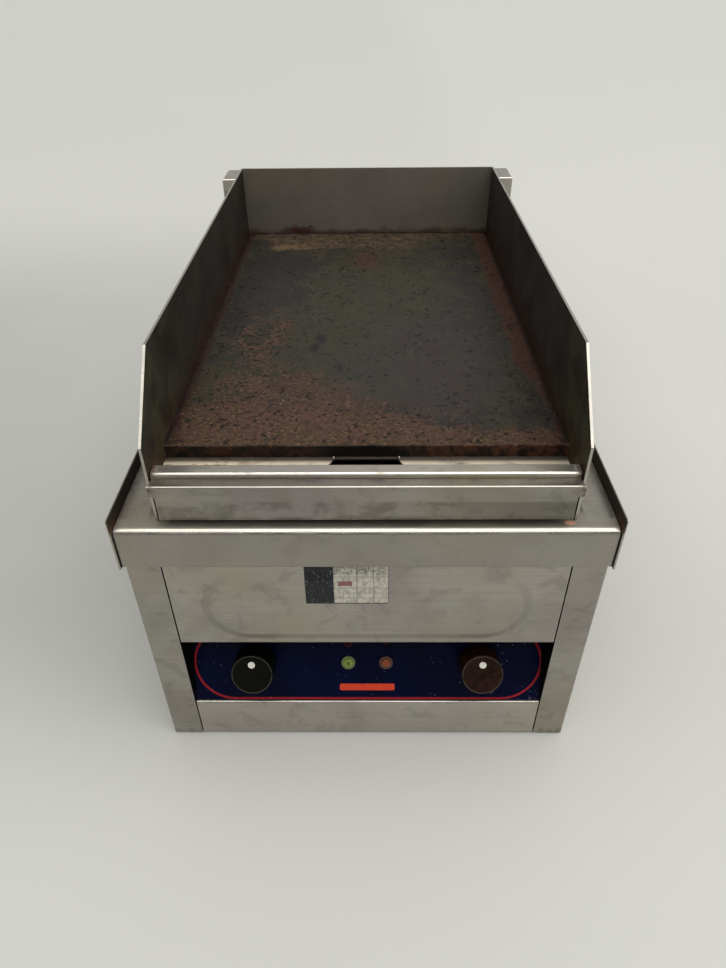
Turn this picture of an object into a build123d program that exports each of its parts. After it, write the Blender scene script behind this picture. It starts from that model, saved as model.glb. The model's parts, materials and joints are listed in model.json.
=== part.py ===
"""Countertop electric flat top griddle: folded steel body, griddle plate with splash guards, drip drawer.

Millimetres, +Z up, the front faces -Y. Every piece is drawn with y = 0 at the front face of the body
and then moved so that the origin is the middle of the overall footprint, at the underside of the feet.
"""

import os
from math import cos, radians, sin, tan

from build123d import *

os.makedirs("parts", exist_ok=True)

# ---------------------------------------------------------------- overall sizes
HALF_WIDTH = 200.5  # outer faces of the side panels
FRONT_OVERHANG = 11.0  # side panels beside the worktop stand this far in front of the body
KNOB_REACH = 13.0  # and the knobs this far
BODY_BACK = 638.0
TOP_BACK = 658.0  # back edge of the worktop and of the upstand
BODY_BOTTOM = 2.0  # thickness of the feet
APRON_BOTTOM = 249.0
WORKTOP = 289.0
EAR_TOP = 300.5
PLATE_TOP = 328.8
GUARD_TOP = 414.0
UPSTAND_TOP = 391.0

# ---------------------------------------------------------------- sheet gauges
BODY_SHEET = 1.5
PANEL_SHEET = 1.2
TRAY_SHEET = 1.0
GUARD_SHEET = 2.0
BEND = 0.8  # inside radius of an ordinary fold
BULLNOSE = 4.5  # inside radius of the worktop's front edge

# ---------------------------------------------------------------- cooking area
PLATE_THICK = 12.0
PLATE_HALF = 164.4
PLATE_FRONT = 50.6
PLATE_BACK = 568.0
GUARD_FRONT = 2.9
GUARD_SLOPE_FOOT = 358.4  # where the front edge of a guard starts to lean back
GUARD_SLOPE_HEAD = 60.4
LIP_TOP = 334.0
LIP_FRONT = 5.6
LIP_BACK = 18.2
LIP_HALF = 163.2
GUTTER_BACK = 98.0
PLATE_BOTTOM = PLATE_TOP - PLATE_THICK

# ---------------------------------------------------------------- front panels
POST_WIDTH = 29.3
PANEL_HALF = 169.8
UPPER_PANEL_BOTTOM = 144.0
LOWER_PANEL_TOP = 54.0
CONTROL_LEAN = 25.0  # degrees from vertical
CONTROL_LENGTH = 112.0
CONTROL_ROW = 41.0  # knobs and lamps, up the slope from the panel's bottom edge
KNOB_X = 109.0
LAMP_X = 18.4
OVERLAY = 0.5

# ---------------------------------------------------------------- drip drawer
DRAWER_FACE = -5.0
DRAWER_TOP = 329.3
DRAWER_BOTTOM = 297.3
DRAWER_HALF = 160.2
HOOD_HALF = 164.8
HOOD_DEEP = 9.8
TRAY_HALF = 158.0
TRAY_BACK = 95.0
TRAY_BOTTOM = 298.0
TRAY_TOP = 313.0

parts = {}


def block(x0, x1, y0, y1, z0, z1):
    """A box between two corners."""
    return Pos((x0 + x1) / 2, (y0 + y1) / 2, (z0 + z1) / 2) * Box(x1 - x0, y1 - y0, z1 - z0)


def bar(start, end, radius):
    """A round bar from one point to another."""
    start, end = Vector(*start), Vector(*end)
    plane = Plane(origin=start, z_dir=end - start)
    return extrude(plane * Circle(radius), amount=(end - start).length)


def tube(points, bend, radius):
    """A round rod bent along a row of points."""
    route = Wire(rounded_edges(points, [0] + [bend] * (len(points) - 2) + [0], closed=False))
    mouth = Plane(origin=points[0], z_dir=Vector(*points[1]) - Vector(*points[0]))
    return sweep(mouth * Circle(radius), path=route)


def joined(shapes):
    """All the shapes as one."""
    total = shapes[0]
    for shape in shapes[1:]:
        total = total + shape
    return total


def rounded_edges(corners, radii, closed=True):
    """Lines and arcs through the corners, each rounded by its own radius. A radius of 0 leaves it sharp."""
    points = [Vector(*corner) for corner in corners]
    starts, ends, arcs = [], [], []
    for here, radius in enumerate(radii):
        corner = points[here]
        into = (corner - points[here - 1]).normalized()
        out = (points[(here + 1) % len(points)] - corner).normalized()
        half_turn = radians(into.get_angle(out)) / 2
        if radius == 0:
            starts.append(corner)
            ends.append(corner)
            arcs.append(None)
            continue
        inward = (out - into).normalized()
        centre = corner + inward * (radius / cos(half_turn))
        starts.append(corner - into * (radius * tan(half_turn)))
        ends.append(corner + out * (radius * tan(half_turn)))
        arcs.append(ThreePointArc(starts[-1], centre - inward * radius, ends[-1]))
    edges = []
    for here, arc in enumerate(arcs):
        if arc is not None:
            edges.append(arc)
        if here == len(arcs) - 1 and not closed:
            break
        following = starts[(here + 1) % len(points)]
        if (following - ends[here]).length > 1e-6:
            edges.append(Line(ends[here], following))
    return edges


def rounded_face(corners, radii):
    """A flat face inside rounded corners."""
    return Face(Wire(rounded_edges(corners, radii)))


def fold(line, thickness, bends):
    """The section of a folded sheet. The line is one face, and the metal lies to the right of it."""
    points = [Vector(*point) for point in line]
    runs = [(b - a).normalized() for a, b in zip(points, points[1:])]
    rights = [Vector(run.Y, -run.X) for run in runs]
    other = [points[0] + rights[0] * thickness]
    near, far = [0], [0]
    for corner, bend in enumerate(bends, start=1):
        before, after = rights[corner - 1], rights[corner]
        mitre = (before + after) * (thickness / (1 + before.dot(after)))
        other.append(points[corner] + mitre)
        left_turn = runs[corner - 1].X * runs[corner].Y - runs[corner - 1].Y * runs[corner].X > 0
        near.append(bend if left_turn else bend + thickness)
        far.append(bend + thickness if left_turn else bend)
    other.append(points[-1] + rights[-1] * thickness)
    corners = [(p.X, p.Y) for p in points + other[::-1]]
    return rounded_face(corners, near + [0, 0] + far[::-1])


def across(face, half):
    """A section drawn as (y, z), extruded over the width -half to +half."""
    return extrude(Plane.YZ.offset(-half) * face, amount=2 * half, dir=(1, 0, 0))


def facing(face, y0, y1):
    """A face drawn as (x, z), extruded from y0 back to y1."""
    return extrude(Plane.XZ.offset(-y0) * face, amount=y1 - y0, dir=(0, 1, 0))


def upright(face, z0, z1):
    """A face drawn as (x, y), extruded from z0 up to z1."""
    return extrude(Plane.XY.offset(z0) * face, amount=z1 - z0, dir=(0, 0, 1))


def mirrored(shape):
    """The same piece for the other side."""
    return mirror(shape, about=Plane.YZ)


def hexagon(across_flats, thickness):
    """A hexagonal nut blank standing on the XY plane."""
    return extrude(RegularPolygon(across_flats / 2, 6, major_radius=False), amount=thickness)


def stadium(x, z, length, height):
    """A round-ended slot outline, as a face in (x, z)."""
    return Pos(x, z) * SlotOverall(length, height)


# ================================================================ body
FLANGE = 25.0  # side panels' bottom and rear flanges
SIDE_INNER = HALF_WIDTH - BODY_SHEET
POST_INNER = HALF_WIDTH - POST_WIDTH
BASE_UNDER = BODY_BOTTOM + BODY_SHEET
BASE_TOP = BASE_UNDER + PANEL_SHEET
UNDER_TOP = WORKTOP - BODY_SHEET  # underside of the worktop
REAR_FACE = BODY_BACK - BODY_SHEET  # outer face of the rear panel, behind the side panels' flanges
UPSTAND_FRONT = 607.0

SCREW_RADIUS = 2.0
HEAD_RADIUS = 3.75
HEAD_HEIGHT = 2.4
SHANK = 4.5
FOOT_RADIUS = 11.0
FLANGE_LINE = HALF_WIDTH - FLANGE / 2  # feet and screws sit on the middle of the flanges
foot_spots = [(x, y) for x in (-FLANGE_LINE, FLANGE_LINE) for y in (40.0, 598.0)]
base_screws = [(x, y) for x in (-FLANGE_LINE, FLANGE_LINE) for y in (110.0, 320.0, 530.0)]
base_screws += [(-140.0, 8.0), (140.0, 8.0)]
rear_screws = [(x, z) for x in (-FLANGE_LINE, FLANGE_LINE) for z in (32.0, 130.0, 228.0)]


def base_shank(x, y):
    """A screw shank standing through the base."""
    return bar((x, y, BASE_TOP - SHANK), (x, y, BASE_TOP), SCREW_RADIUS)


def rear_shank(x, z):
    """A screw shank lying through the rear flange and the rear panel."""
    return bar((x, BODY_BACK - SHANK, z), (x, BODY_BACK, z), SCREW_RADIUS)


base_shanks = joined([base_shank(x, y) for x, y in base_screws])
rear_shanks = joined([rear_shank(x, z) for x, z in rear_screws])


def side_panel():
    """Right side panel: front post, side, rear flange, bottom flange, and the ear beside the worktop."""
    section = fold(
        [(HALF_WIDTH - FLANGE, BODY_BACK), (HALF_WIDTH, BODY_BACK), (HALF_WIDTH, 0), (POST_INNER, 0)],
        BODY_SHEET,
        [BEND, BEND],
    )
    ear = [
        (-FRONT_OVERHANG, APRON_BOTTOM),
        (TOP_BACK, APRON_BOTTOM),
        (TOP_BACK, WORKTOP),
        (UPSTAND_FRONT - 0.5, WORKTOP),
        (UPSTAND_FRONT - 0.5, EAR_TOP),
        (-FRONT_OVERHANG, EAR_TOP),
    ]
    ear_sheet = rounded_face(ear, [0, 0, 0, 0, 2.0, 1.0])
    panel = upright(section, BODY_BOTTOM, APRON_BOTTOM)
    panel += extrude(Plane.YZ.offset(SIDE_INNER) * ear_sheet, amount=BODY_SHEET, dir=(1, 0, 0))
    panel += block(
        HALF_WIDTH - FLANGE, SIDE_INNER + 0.1, BODY_SHEET, REAR_FACE, BODY_BOTTOM, BODY_BOTTOM + BODY_SHEET
    )
    return panel - base_shanks - rear_shanks


parts["right_side_panel"] = side_panel()
parts["left_side_panel"] = mirrored(parts["right_side_panel"])

parts["foot_pads"] = joined([bar((x, y, 0), (x, y, BODY_BOTTOM), FOOT_RADIUS) for x, y in foot_spots])

base_corners = [
    (-SIDE_INNER, BODY_SHEET),
    (SIDE_INNER, BODY_SHEET),
    (SIDE_INNER, REAR_FACE),
    (-SIDE_INNER, REAR_FACE),
]
base = upright(rounded_face(base_corners, [1.5] * 4), BASE_UNDER, BASE_TOP)
for row in range(6):
    for column in (-1, 0, 1):
        slot = Pos(column * 90, 150 + row * 24) * SlotOverall(60, 6)
        base -= upright(slot, BASE_UNDER - 1, BASE_TOP + 1)
parts["base_plate"] = base - base_shanks

# Gland, button and earth stud positions on the rear panel, as (x, z).
GLAND = (-120.0, 42.0)
LIMITER = (120.0, 60.0)
EARTH = (-70.0, 42.0)
GLAND_RADIUS = 10.0

rear = block(1 - SIDE_INNER, SIDE_INNER - 1, REAR_FACE - PANEL_SHEET, REAR_FACE, BASE_TOP, UNDER_TOP)
for row in range(5):
    for column in (-1, 0, 1):
        slot = Pos(column * 90, 170 + row * 16) * SlotOverall(60, 6)
        rear -= facing(slot, REAR_FACE - 3, REAR_FACE + 1)
rear -= bar((GLAND[0], 620, GLAND[1]), (GLAND[0], 640, GLAND[1]), GLAND_RADIUS)
rear -= bar((LIMITER[0], 620, LIMITER[1]), (LIMITER[0], 640, LIMITER[1]), 5)
rear -= bar((EARTH[0], 620, EARTH[1]), (EARTH[0], 640, EARTH[1]), 3)
parts["rear_panel"] = rear - rear_shanks


heads = [bar((x, y, BASE_TOP), (x, y, BASE_TOP + HEAD_HEIGHT), HEAD_RADIUS) for x, y in base_screws]
heads += [bar((x, BODY_BACK, z), (x, BODY_BACK + HEAD_HEIGHT, z), HEAD_RADIUS) for x, z in rear_screws]
parts["panel_screws"] = joined([base_shanks, rear_shanks] + heads)

# ================================================================ front panels
lower_line = [(14, BODY_BOTTOM), (0, BODY_BOTTOM), (0, LOWER_PANEL_TOP), (14, LOWER_PANEL_TOP)]
lower = across(fold(lower_line, PANEL_SHEET, [BEND, BEND]), PANEL_HALF)
parts["lower_front_panel"] = lower - base_shanks

EMBOSS_Z = 193.0
EMBOSS_LENGTH = 288.0
EMBOSS_HEIGHT = 84.0
EMBOSS_SLOPE = 8.0
EMBOSS_RISE = 2.0


def embossing(shift):
    """The pressed stadium as a solid wedge, with its foot at y = shift."""
    foot = stadium(0, EMBOSS_Z, EMBOSS_LENGTH, EMBOSS_HEIGHT)
    crown = stadium(0, EMBOSS_Z, EMBOSS_LENGTH - 2 * EMBOSS_SLOPE, EMBOSS_HEIGHT - 2 * EMBOSS_SLOPE)
    return loft(
        [Plane.XZ.offset(-shift) * foot, Plane.XZ.offset(EMBOSS_RISE - shift) * crown], ruled=True
    )


upper_line = [(10, UPPER_PANEL_BOTTOM), (0, UPPER_PANEL_BOTTOM), (0, UNDER_TOP), (12, UNDER_TOP)]
upper = across(fold(upper_line, PANEL_SHEET, [BEND, BEND]), PANEL_HALF)
upper += embossing(0)
upper -= embossing(PANEL_SHEET)
for side in (-1, 1):
    edge = sorted((side * PANEL_HALF, side * (PANEL_HALF - PANEL_SHEET)))
    upper += block(*edge, 0.6, 12, UPPER_PANEL_BOTTOM + 0.6, UNDER_TOP - 0.6)
parts["upper_front_panel"] = upper

label_line = [
    (0, 243.0),
    (0, EMBOSS_Z + EMBOSS_HEIGHT / 2),
    (-EMBOSS_RISE, EMBOSS_Z + EMBOSS_HEIGHT / 2 - EMBOSS_SLOPE),
    (-EMBOSS_RISE, 199.3),
]
LABEL_WIDTH = 71.0
LABEL_CENTRE = -16.5
parts["rating_label"] = Pos(LABEL_CENTRE, 0, 0) * across(fold(label_line, 0.3, [0, 0]), LABEL_WIDTH / 2)

rail_line = [(12, 250), (12, UNDER_TOP), (34, UNDER_TOP)]
parts["front_crossrail"] = across(fold(rail_line, BODY_SHEET, [BEND]), SIDE_INNER)

# ================================================================ worktop and upstand
OPENING_HALF = 150.0
OPENING = (112.0, 560.0)

worktop_line = [
    (0, APRON_BOTTOM),
    (-9.2, APRON_BOTTOM),
    (-9.2, WORKTOP),
    (TOP_BACK, WORKTOP),
    (TOP_BACK, APRON_BOTTOM),
]
worktop = across(fold(worktop_line, BODY_SHEET, [BEND, BULLNOSE, BEND]), SIDE_INNER)
worktop -= block(-OPENING_HALF, OPENING_HALF, *OPENING, UNDER_TOP - 5, WORKTOP + 5)
for column in range(6):
    slot = Pos(-150 + 60 * column, 632) * SlotOverall(44, 14)
    worktop -= upright(slot, UNDER_TOP - 1, WORKTOP + 1)
parts["worktop"] = worktop

upstand = block(-HALF_WIDTH, HALF_WIDTH, UPSTAND_FRONT, TOP_BACK, WORKTOP, UPSTAND_TOP)
upstand = fillet(upstand.faces().sort_by(Axis.Z)[-1].edges(), 2.0)
upstand -= block(
    -HALF_WIDTH + PANEL_SHEET,
    HALF_WIDTH - PANEL_SHEET,
    UPSTAND_FRONT + PANEL_SHEET,
    TOP_BACK - PANEL_SHEET,
    WORKTOP - 1,
    UPSTAND_TOP - PANEL_SHEET,
)
for column in range(8):
    slot = Pos(-147 + 42 * column, 345) * SlotOverall(30, 6)
    upstand -= facing(slot, TOP_BACK - 3, TOP_BACK + 1)
parts["rear_upstand"] = upstand

# ================================================================ cooking area
guard_outline = [
    (GUARD_FRONT, WORKTOP),
    (PLATE_BACK + GUARD_SHEET, WORKTOP),
    (PLATE_BACK + GUARD_SHEET, GUARD_TOP),
    (GUARD_SLOPE_HEAD, GUARD_TOP),
    (GUARD_FRONT, GUARD_SLOPE_FOOT),
]
guard_face = rounded_face(guard_outline, [0, 0, 0.8, 0.8, 0.8])
parts["right_guard"] = extrude(Plane.YZ.offset(PLATE_HALF) * guard_face, amount=GUARD_SHEET, dir=(1, 0, 0))
parts["left_guard"] = mirrored(parts["right_guard"])
parts["rear_guard"] = block(
    -PLATE_HALF, PLATE_HALF, PLATE_BACK, PLATE_BACK + GUARD_SHEET, WORKTOP, GUARD_TOP
)

plate = block(-PLATE_HALF, PLATE_HALF, PLATE_FRONT, PLATE_BACK, PLATE_BOTTOM, PLATE_TOP)
top_front_edge = plate.edges().filter_by(Axis.X).group_by(Axis.Z)[-1].sort_by(Axis.Y)[0]
parts["griddle_plate"] = chamfer(top_front_edge, 0.8)

gutter_line = [
    (LIP_FRONT, 322),
    (LIP_FRONT, LIP_TOP),
    (LIP_BACK, LIP_TOP),
    (LIP_BACK, PLATE_BOTTOM),
    (GUTTER_BACK, PLATE_BOTTOM),
    (GUTTER_BACK, 290),
]
gutter = across(fold(gutter_line, BODY_SHEET, [BEND] * 4), PLATE_HALF)
for side in (-1, 1):
    ends = sorted((side * LIP_HALF, side * (PLATE_HALF + 1)))
    gutter -= block(*ends, LIP_FRONT - 1, LIP_BACK + 0.01, PLATE_BOTTOM + 1, LIP_TOP + 1)
# The drain slot narrows towards the plate.
drain = rounded_face([(-38, 25), (38, 25), (26, 49), (-26, 49)], [3, 3, 1.5, 1.5])
gutter -= upright(drain, PLATE_BOTTOM - 5, PLATE_BOTTOM + 5)
parts["drain_gutter"] = gutter

rail_line = [(PLATE_HALF - 12, PLATE_BOTTOM), (PLATE_HALF, PLATE_BOTTOM), (PLATE_HALF, PLATE_BOTTOM - 15)]
rail_face = fold(rail_line, BODY_SHEET, [0.5])
right_rail = extrude(Plane.XZ.offset(-100) * rail_face, amount=465, dir=(0, 1, 0))
parts["plate_rails"] = right_rail + mirrored(right_rail)
bracket_line = [(548, PLATE_BOTTOM), (PLATE_BACK, PLATE_BOTTOM), (PLATE_BACK, 291)]
parts["rear_plate_bracket"] = across(fold(bracket_line, 2.0, [BEND]), 150)

# ================================================================ heating
ROD = 4.0  # heating rod radius
ROD_Z = PLATE_BOTTOM - ROD
ROD_FRONT = 120.0
ROD_TURN = 150.0
ROD_BACK = 540.0
ROD_END = 240.0
rod_x = [-140.0, -100.0, -60.0, -20.0]
rod_path = [
    (rod_x[0], ROD_FRONT, ROD_END),
    (rod_x[0], ROD_FRONT, ROD_Z),
    (rod_x[0], ROD_BACK, ROD_Z),
    (rod_x[1], ROD_BACK, ROD_Z),
    (rod_x[1], ROD_TURN, ROD_Z),
    (rod_x[2], ROD_TURN, ROD_Z),
    (rod_x[2], ROD_BACK, ROD_Z),
    (rod_x[3], ROD_BACK, ROD_Z),
    (rod_x[3], ROD_FRONT, ROD_Z),
    (rod_x[3], ROD_FRONT, ROD_END),
]
parts["left_heating_element"] = tube(rod_path, 19.0, ROD)
parts["right_heating_element"] = mirrored(parts["left_heating_element"])

rod_ends = [-140.0, -20.0, 20.0, 140.0]
BEAD = 12.0
parts["terminal_beads"] = joined(
    [bar((x, ROD_FRONT, ROD_END - BEAD), (x, ROD_FRONT, ROD_END), 5.0) for x in rod_ends]
)
STUD_END = 214.0
parts["terminal_pins"] = joined(
    [bar((x, ROD_FRONT, STUD_END), (x, ROD_FRONT, ROD_END - BEAD), 2.0) for x in rod_ends]
)

CLAMP_TOP = ROD_Z - ROD
CLAMP_BOTTOM = CLAMP_TOP - 3.0
clamp_rows = [180.0, 330.0, 480.0]
stud_spots = [(x, y) for x in (-120.0, -40.0, 40.0, 120.0) for y in clamp_rows]
STUD_RADIUS = 3.0
clamps = joined([block(-155, 155, y - 12, y + 12, CLAMP_BOTTOM, CLAMP_TOP) for y in clamp_rows])
for x, y in stud_spots:
    clamps -= bar((x, y, CLAMP_BOTTOM - 1), (x, y, CLAMP_TOP + 1), STUD_RADIUS + 0.3)
parts["element_clamps"] = clamps
parts["plate_studs"] = joined(
    [bar((x, y, CLAMP_BOTTOM - 8), (x, y, PLATE_BOTTOM), STUD_RADIUS) for x, y in stud_spots]
)
NUT = 5.0
nut_blank = hexagon(10, NUT) - bar((0, 0, -1), (0, 0, NUT + 1), STUD_RADIUS)
parts["clamp_nuts"] = joined([Pos(x, y, CLAMP_BOTTOM - NUT) * nut_blank for x, y in stud_spots])

SHIELD_BOTTOM = 262.0
shield = block(-160, 160, 102, 567, WORKTOP, WORKTOP + 1)
shield += block(-149, 149, 113, 559, SHIELD_BOTTOM, WORKTOP + 1)
shield -= block(-148, 148, 114, 558, SHIELD_BOTTOM + 1, WORKTOP + 2)
wool = block(-148, 148, 114, 558, SHIELD_BOTTOM + 1, SHIELD_BOTTOM + 26)
BULB_HOLE_Y = (150.0, 505.0)
passages = [bar((x, ROD_FRONT, 255), (x, ROD_FRONT, 295), ROD + 0.5) for x in rod_ends]
passages += [bar((0, y, 255), (0, y, 295), 5) for y in BULB_HOLE_Y]
for passage in passages:
    shield -= passage
    wool -= passage
parts["heat_shield"] = shield
parts["insulation"] = wool

# ================================================================ drip drawer
# The hood narrows behind, to pass between the guards.
HOOD_BACK = LIP_FRONT - 0.4
hood_right = [(HOOD_HALF, DRAWER_FACE), (LIP_HALF, GUARD_FRONT - 0.5), (LIP_HALF, HOOD_BACK)]
hood_left = [(-x, y) for x, y in reversed(hood_right)]
hood = rounded_face(hood_right + hood_left, [0] * 6)
drawer_front = upright(hood, DRAWER_TOP - PANEL_SHEET, DRAWER_TOP)
HOOD_BOTTOM = DRAWER_TOP - HOOD_DEEP
tee = rounded_face(
    [
        (-DRAWER_HALF, DRAWER_BOTTOM),
        (DRAWER_HALF, DRAWER_BOTTOM),
        (DRAWER_HALF, HOOD_BOTTOM),
        (HOOD_HALF, HOOD_BOTTOM),
        (HOOD_HALF, DRAWER_TOP),
        (-HOOD_HALF, DRAWER_TOP),
        (-HOOD_HALF, HOOD_BOTTOM),
        (-DRAWER_HALF, HOOD_BOTTOM),
    ],
    [1.0, 1.0, 1.0, 1.0, 0, 0, 1.0, 1.0],
)
drawer_front += facing(tee, DRAWER_FACE, DRAWER_FACE + PANEL_SHEET)
front_top = drawer_front.edges().filter_by(Axis.X).group_by(Axis.Z)[-1].sort_by(Axis.Y)[0]
parts["drawer_front"] = fillet(front_top, 1.6)

tray_front = DRAWER_FACE + PANEL_SHEET
tray = block(-TRAY_HALF, TRAY_HALF, tray_front, TRAY_BACK, TRAY_BOTTOM, TRAY_TOP)
tray -= block(
    -TRAY_HALF + TRAY_SHEET,
    TRAY_HALF - TRAY_SHEET,
    tray_front + TRAY_SHEET,
    TRAY_BACK - TRAY_SHEET,
    TRAY_BOTTOM + TRAY_SHEET,
    TRAY_TOP + 1,
)
parts["drawer_tray"] = tray

RUNNER_TOP = TRAY_BOTTOM - 0.4
runner_line = [(150, RUNNER_TOP), (PLATE_HALF, RUNNER_TOP), (PLATE_HALF, WORKTOP)]
right_runner = extrude(Plane.XZ.offset(-6) * fold(runner_line, 1.5, [0.5]), amount=90, dir=(0, 1, 0))
parts["drawer_runners"] = right_runner + mirrored(right_runner)

# ================================================================ control panel
# Local frame on the overlay's face: x across, y up the slope, z out of the panel.
LEAN_SIN = sin(radians(CONTROL_LEAN))
LEAN_COS = cos(radians(CONTROL_LEAN))
slope = Plane(origin=(0, 2.0, 55.0), x_dir=(1, 0, 0), z_dir=(0, -LEAN_COS, LEAN_SIN))
SHEET_FRONT = -OVERLAY
SHEET_BACK = -OVERLAY - BODY_SHEET


def spot(x, up, out):
    """A point given on the slope, in the body's own axes."""
    return slope.from_local_coords(Vector(x, up, out))


def pin(x, up, out0, out1, radius):
    """A round bar square to the slope."""
    return bar(spot(x, up, out0), spot(x, up, out1), radius)


def sloped(x0, x1, up0, up1, out0, out1):
    """A box square to the slope."""
    return slope * block(x0, x1, up0, up1, out0, out1)


SHAFT = 3.0
SHAFT_END = 18.0
BUSH = 4.5
LAMP = 5.0
FIXING = 12.0  # the controls' two screws, above and below the shaft
controls = [-KNOB_X, KNOB_X]
lamps = [-LAMP_X, LAMP_X]
fixings = [(x, CONTROL_ROW + side * FIXING) for x in controls for side in (-1, 1)]


def panel_holes(shape):
    """The shape with holes for the bushes, the fixing screws and the lamps."""
    for x in controls:
        shape -= pin(x, CONTROL_ROW, -4, 1, BUSH + 0.5)
    for x in lamps:
        shape -= pin(x, CONTROL_ROW, -4, 1, LAMP)
    for x, up in fixings:
        shape -= pin(x, up, -4, 1, SCREW_RADIUS)
    return shape


control = sloped(-PANEL_HALF, PANEL_HALF, 0, CONTROL_LENGTH, SHEET_BACK, SHEET_FRONT)
for side in (-1, 1):
    edge = sorted((side * PANEL_HALF, side * (PANEL_HALF - BODY_SHEET)))
    control += sloped(*edge, 10, CONTROL_LENGTH, -14, SHEET_BACK + 0.1)
parts["control_panel"] = panel_holes(control)
parts["panel_overlay"] = panel_holes(
    sloped(-PANEL_HALF, PANEL_HALF, 0, CONTROL_LENGTH, SHEET_FRONT, 0)
)

right_bracket = sloped(PANEL_HALF, PANEL_HALF + BODY_SHEET, 88, 110, -14, -6)
right_bracket += sloped(PANEL_HALF, SIDE_INNER, 88, 110, -7.5, -6)
right_bracket += sloped(SIDE_INNER - BODY_SHEET, SIDE_INNER, 88, 110, -26, -6)
parts["panel_brackets"] = right_bracket + mirrored(right_bracket)


def control_body(x, half_wide, half_high, deep):
    """A control's casing with its bush, bored for a turning shaft."""
    low, high = CONTROL_ROW - half_high, CONTROL_ROW + half_high
    casing = sloped(x - half_wide, x + half_wide, low, high, -deep, SHEET_BACK)
    casing += pin(x, CONTROL_ROW, SHEET_BACK, 2, BUSH)
    casing -= pin(x, CONTROL_ROW, -12, 3, SHAFT + 0.05)
    for up in (CONTROL_ROW - FIXING, CONTROL_ROW + FIXING):
        casing -= pin(x, up, -6, -1, SCREW_RADIUS)
    return casing


SWITCH_DEEP = 42.0
THERMOSTAT_DEEP = 32.0
parts["selector_switch"] = control_body(-KNOB_X, 20, 22, SWITCH_DEEP)
parts["thermostat"] = control_body(KNOB_X, 23, 20, THERMOSTAT_DEEP)
parts["control_screws"] = joined(
    [pin(x, up, -6, 0, SCREW_RADIUS) + pin(x, up, 0, 2, 3.5) for x, up in fixings]
)

KNOB_GAP = 0.8
KNOB_FACE = 26.8
KNOB_BASE_RADIUS = 20.2
KNOB_FACE_RADIUS = 19.4
FACE_SINK = 0.5
DOT_UP = 10.0
DOT = 3.3
knob_section = [
    (0, 3.0),
    (7.0, 3.0),
    (7.0, 22.8),
    (17.5, 22.8),
    (17.5, KNOB_GAP),
    (KNOB_BASE_RADIUS, KNOB_GAP),
    (KNOB_BASE_RADIUS, KNOB_GAP + 2.5),
    (KNOB_FACE_RADIUS, KNOB_FACE),
    (18.6, KNOB_FACE),
    (18.3, KNOB_FACE - FACE_SINK),
    (0, KNOB_FACE - FACE_SINK),
]
knob_face = rounded_face(knob_section, [0, 0.5, 0.5, 0.5, 0, 0.5, 0, 0.5, 0.2, 0, 0])
knob_blank = revolve(Plane.XZ * knob_face, Axis.Z)


def control_shaft(x, depth):
    """A shaft with a flat on its outer end."""
    shaft = pin(x, CONTROL_ROW, -depth, SHAFT_END, SHAFT)
    return shaft - sloped(x - 5, x + 5, CONTROL_ROW - 5, CONTROL_ROW - 2.2, 8, SHAFT_END + 1)


for name, x in (("left", -KNOB_X), ("right", KNOB_X)):
    shaft = control_shaft(x, 11.5)
    dot = pin(x, CONTROL_ROW + DOT_UP, KNOB_FACE - FACE_SINK - 0.6, KNOB_FACE - FACE_SINK + 0.2, DOT)
    knob = slope * (Pos(x, CONTROL_ROW, 0) * knob_blank)
    parts[name + "_shaft"] = shaft
    parts[name + "_knob"] = knob - shaft - dot
    parts[name + "_knob_dot"] = dot

LENS = 4.6
LENS_HEIGHT = 3.6
lens = Pos(0, 0, LENS_HEIGHT / 2) * Cylinder(LENS, LENS_HEIGHT)
lens = fillet(lens.edges().sort_by(Axis.Z)[-1], 2.0)
parts["green_lamp_lens"] = slope * (Pos(-LAMP_X, CONTROL_ROW, 0) * lens)
parts["amber_lamp_lens"] = slope * (Pos(LAMP_X, CONTROL_ROW, 0) * lens)
parts["lamp_bezels"] = joined(
    [pin(x, CONTROL_ROW, 0, 2.2, 6.7) - pin(x, CONTROL_ROW, -1, 3, LENS) for x in lamps]
)
parts["lamp_bodies"] = joined([pin(x, CONTROL_ROW, -26, 0, LAMP) for x in lamps])
lamp_nut = hexagon(14, 3) - bar((0, 0, -1), (0, 0, 4), LAMP)
parts["lamp_nuts"] = joined([slope * (Pos(x, CONTROL_ROW, SHEET_BACK - 3) * lamp_nut) for x in lamps])

# ================================================================ electrical parts
BULB_Z = PLATE_BOTTOM - 3.0
back = spot(KNOB_X, CONTROL_ROW, -THERMOSTAT_DEEP)
behind = spot(KNOB_X, CONTROL_ROW, -THERMOSTAT_DEEP - 25)
capillary = tube(
    [
        back,
        behind,
        (KNOB_X, 150, behind.Z),
        (KNOB_X, 150, 200),
        (0, 150, 200),
        (0, 150, BULB_Z),
        (0, 200, BULB_Z),
    ],
    8.0,
    1.0,
)
parts["thermostat_bulb"] = capillary + bar((0, 200, BULB_Z), (0, 310, BULB_Z), 3.0)

LIMITER_FRONT = 600.0
lx, lz = LIMITER
limiter_bulb_z = PLATE_BOTTOM - 2.0
limiter_line = [
    (0, 450, limiter_bulb_z),
    (0, 505, limiter_bulb_z),
    (0, 505, 220),
    (lx, 505, 220),
    (lx, 505, lz),
    (lx, LIMITER_FRONT, lz),
]
sensor = bar((0, 360, limiter_bulb_z), (0, 450, limiter_bulb_z), 2.0)
parts["limiter_bulb"] = tube(limiter_line, 8.0, 1.0) + sensor
limiter = block(lx - 16, lx + 16, LIMITER_FRONT, REAR_FACE - PANEL_SHEET, lz - 16, lz + 16)
limiter += bar((lx, REAR_FACE - PANEL_SHEET, lz), (lx, REAR_FACE + 2, lz), 5.0)
button = bar((lx, REAR_FACE, lz), (lx, REAR_FACE + 4, lz), 2.5)
parts["safety_limiter"] = limiter - button
parts["limiter_button"] = button

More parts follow.
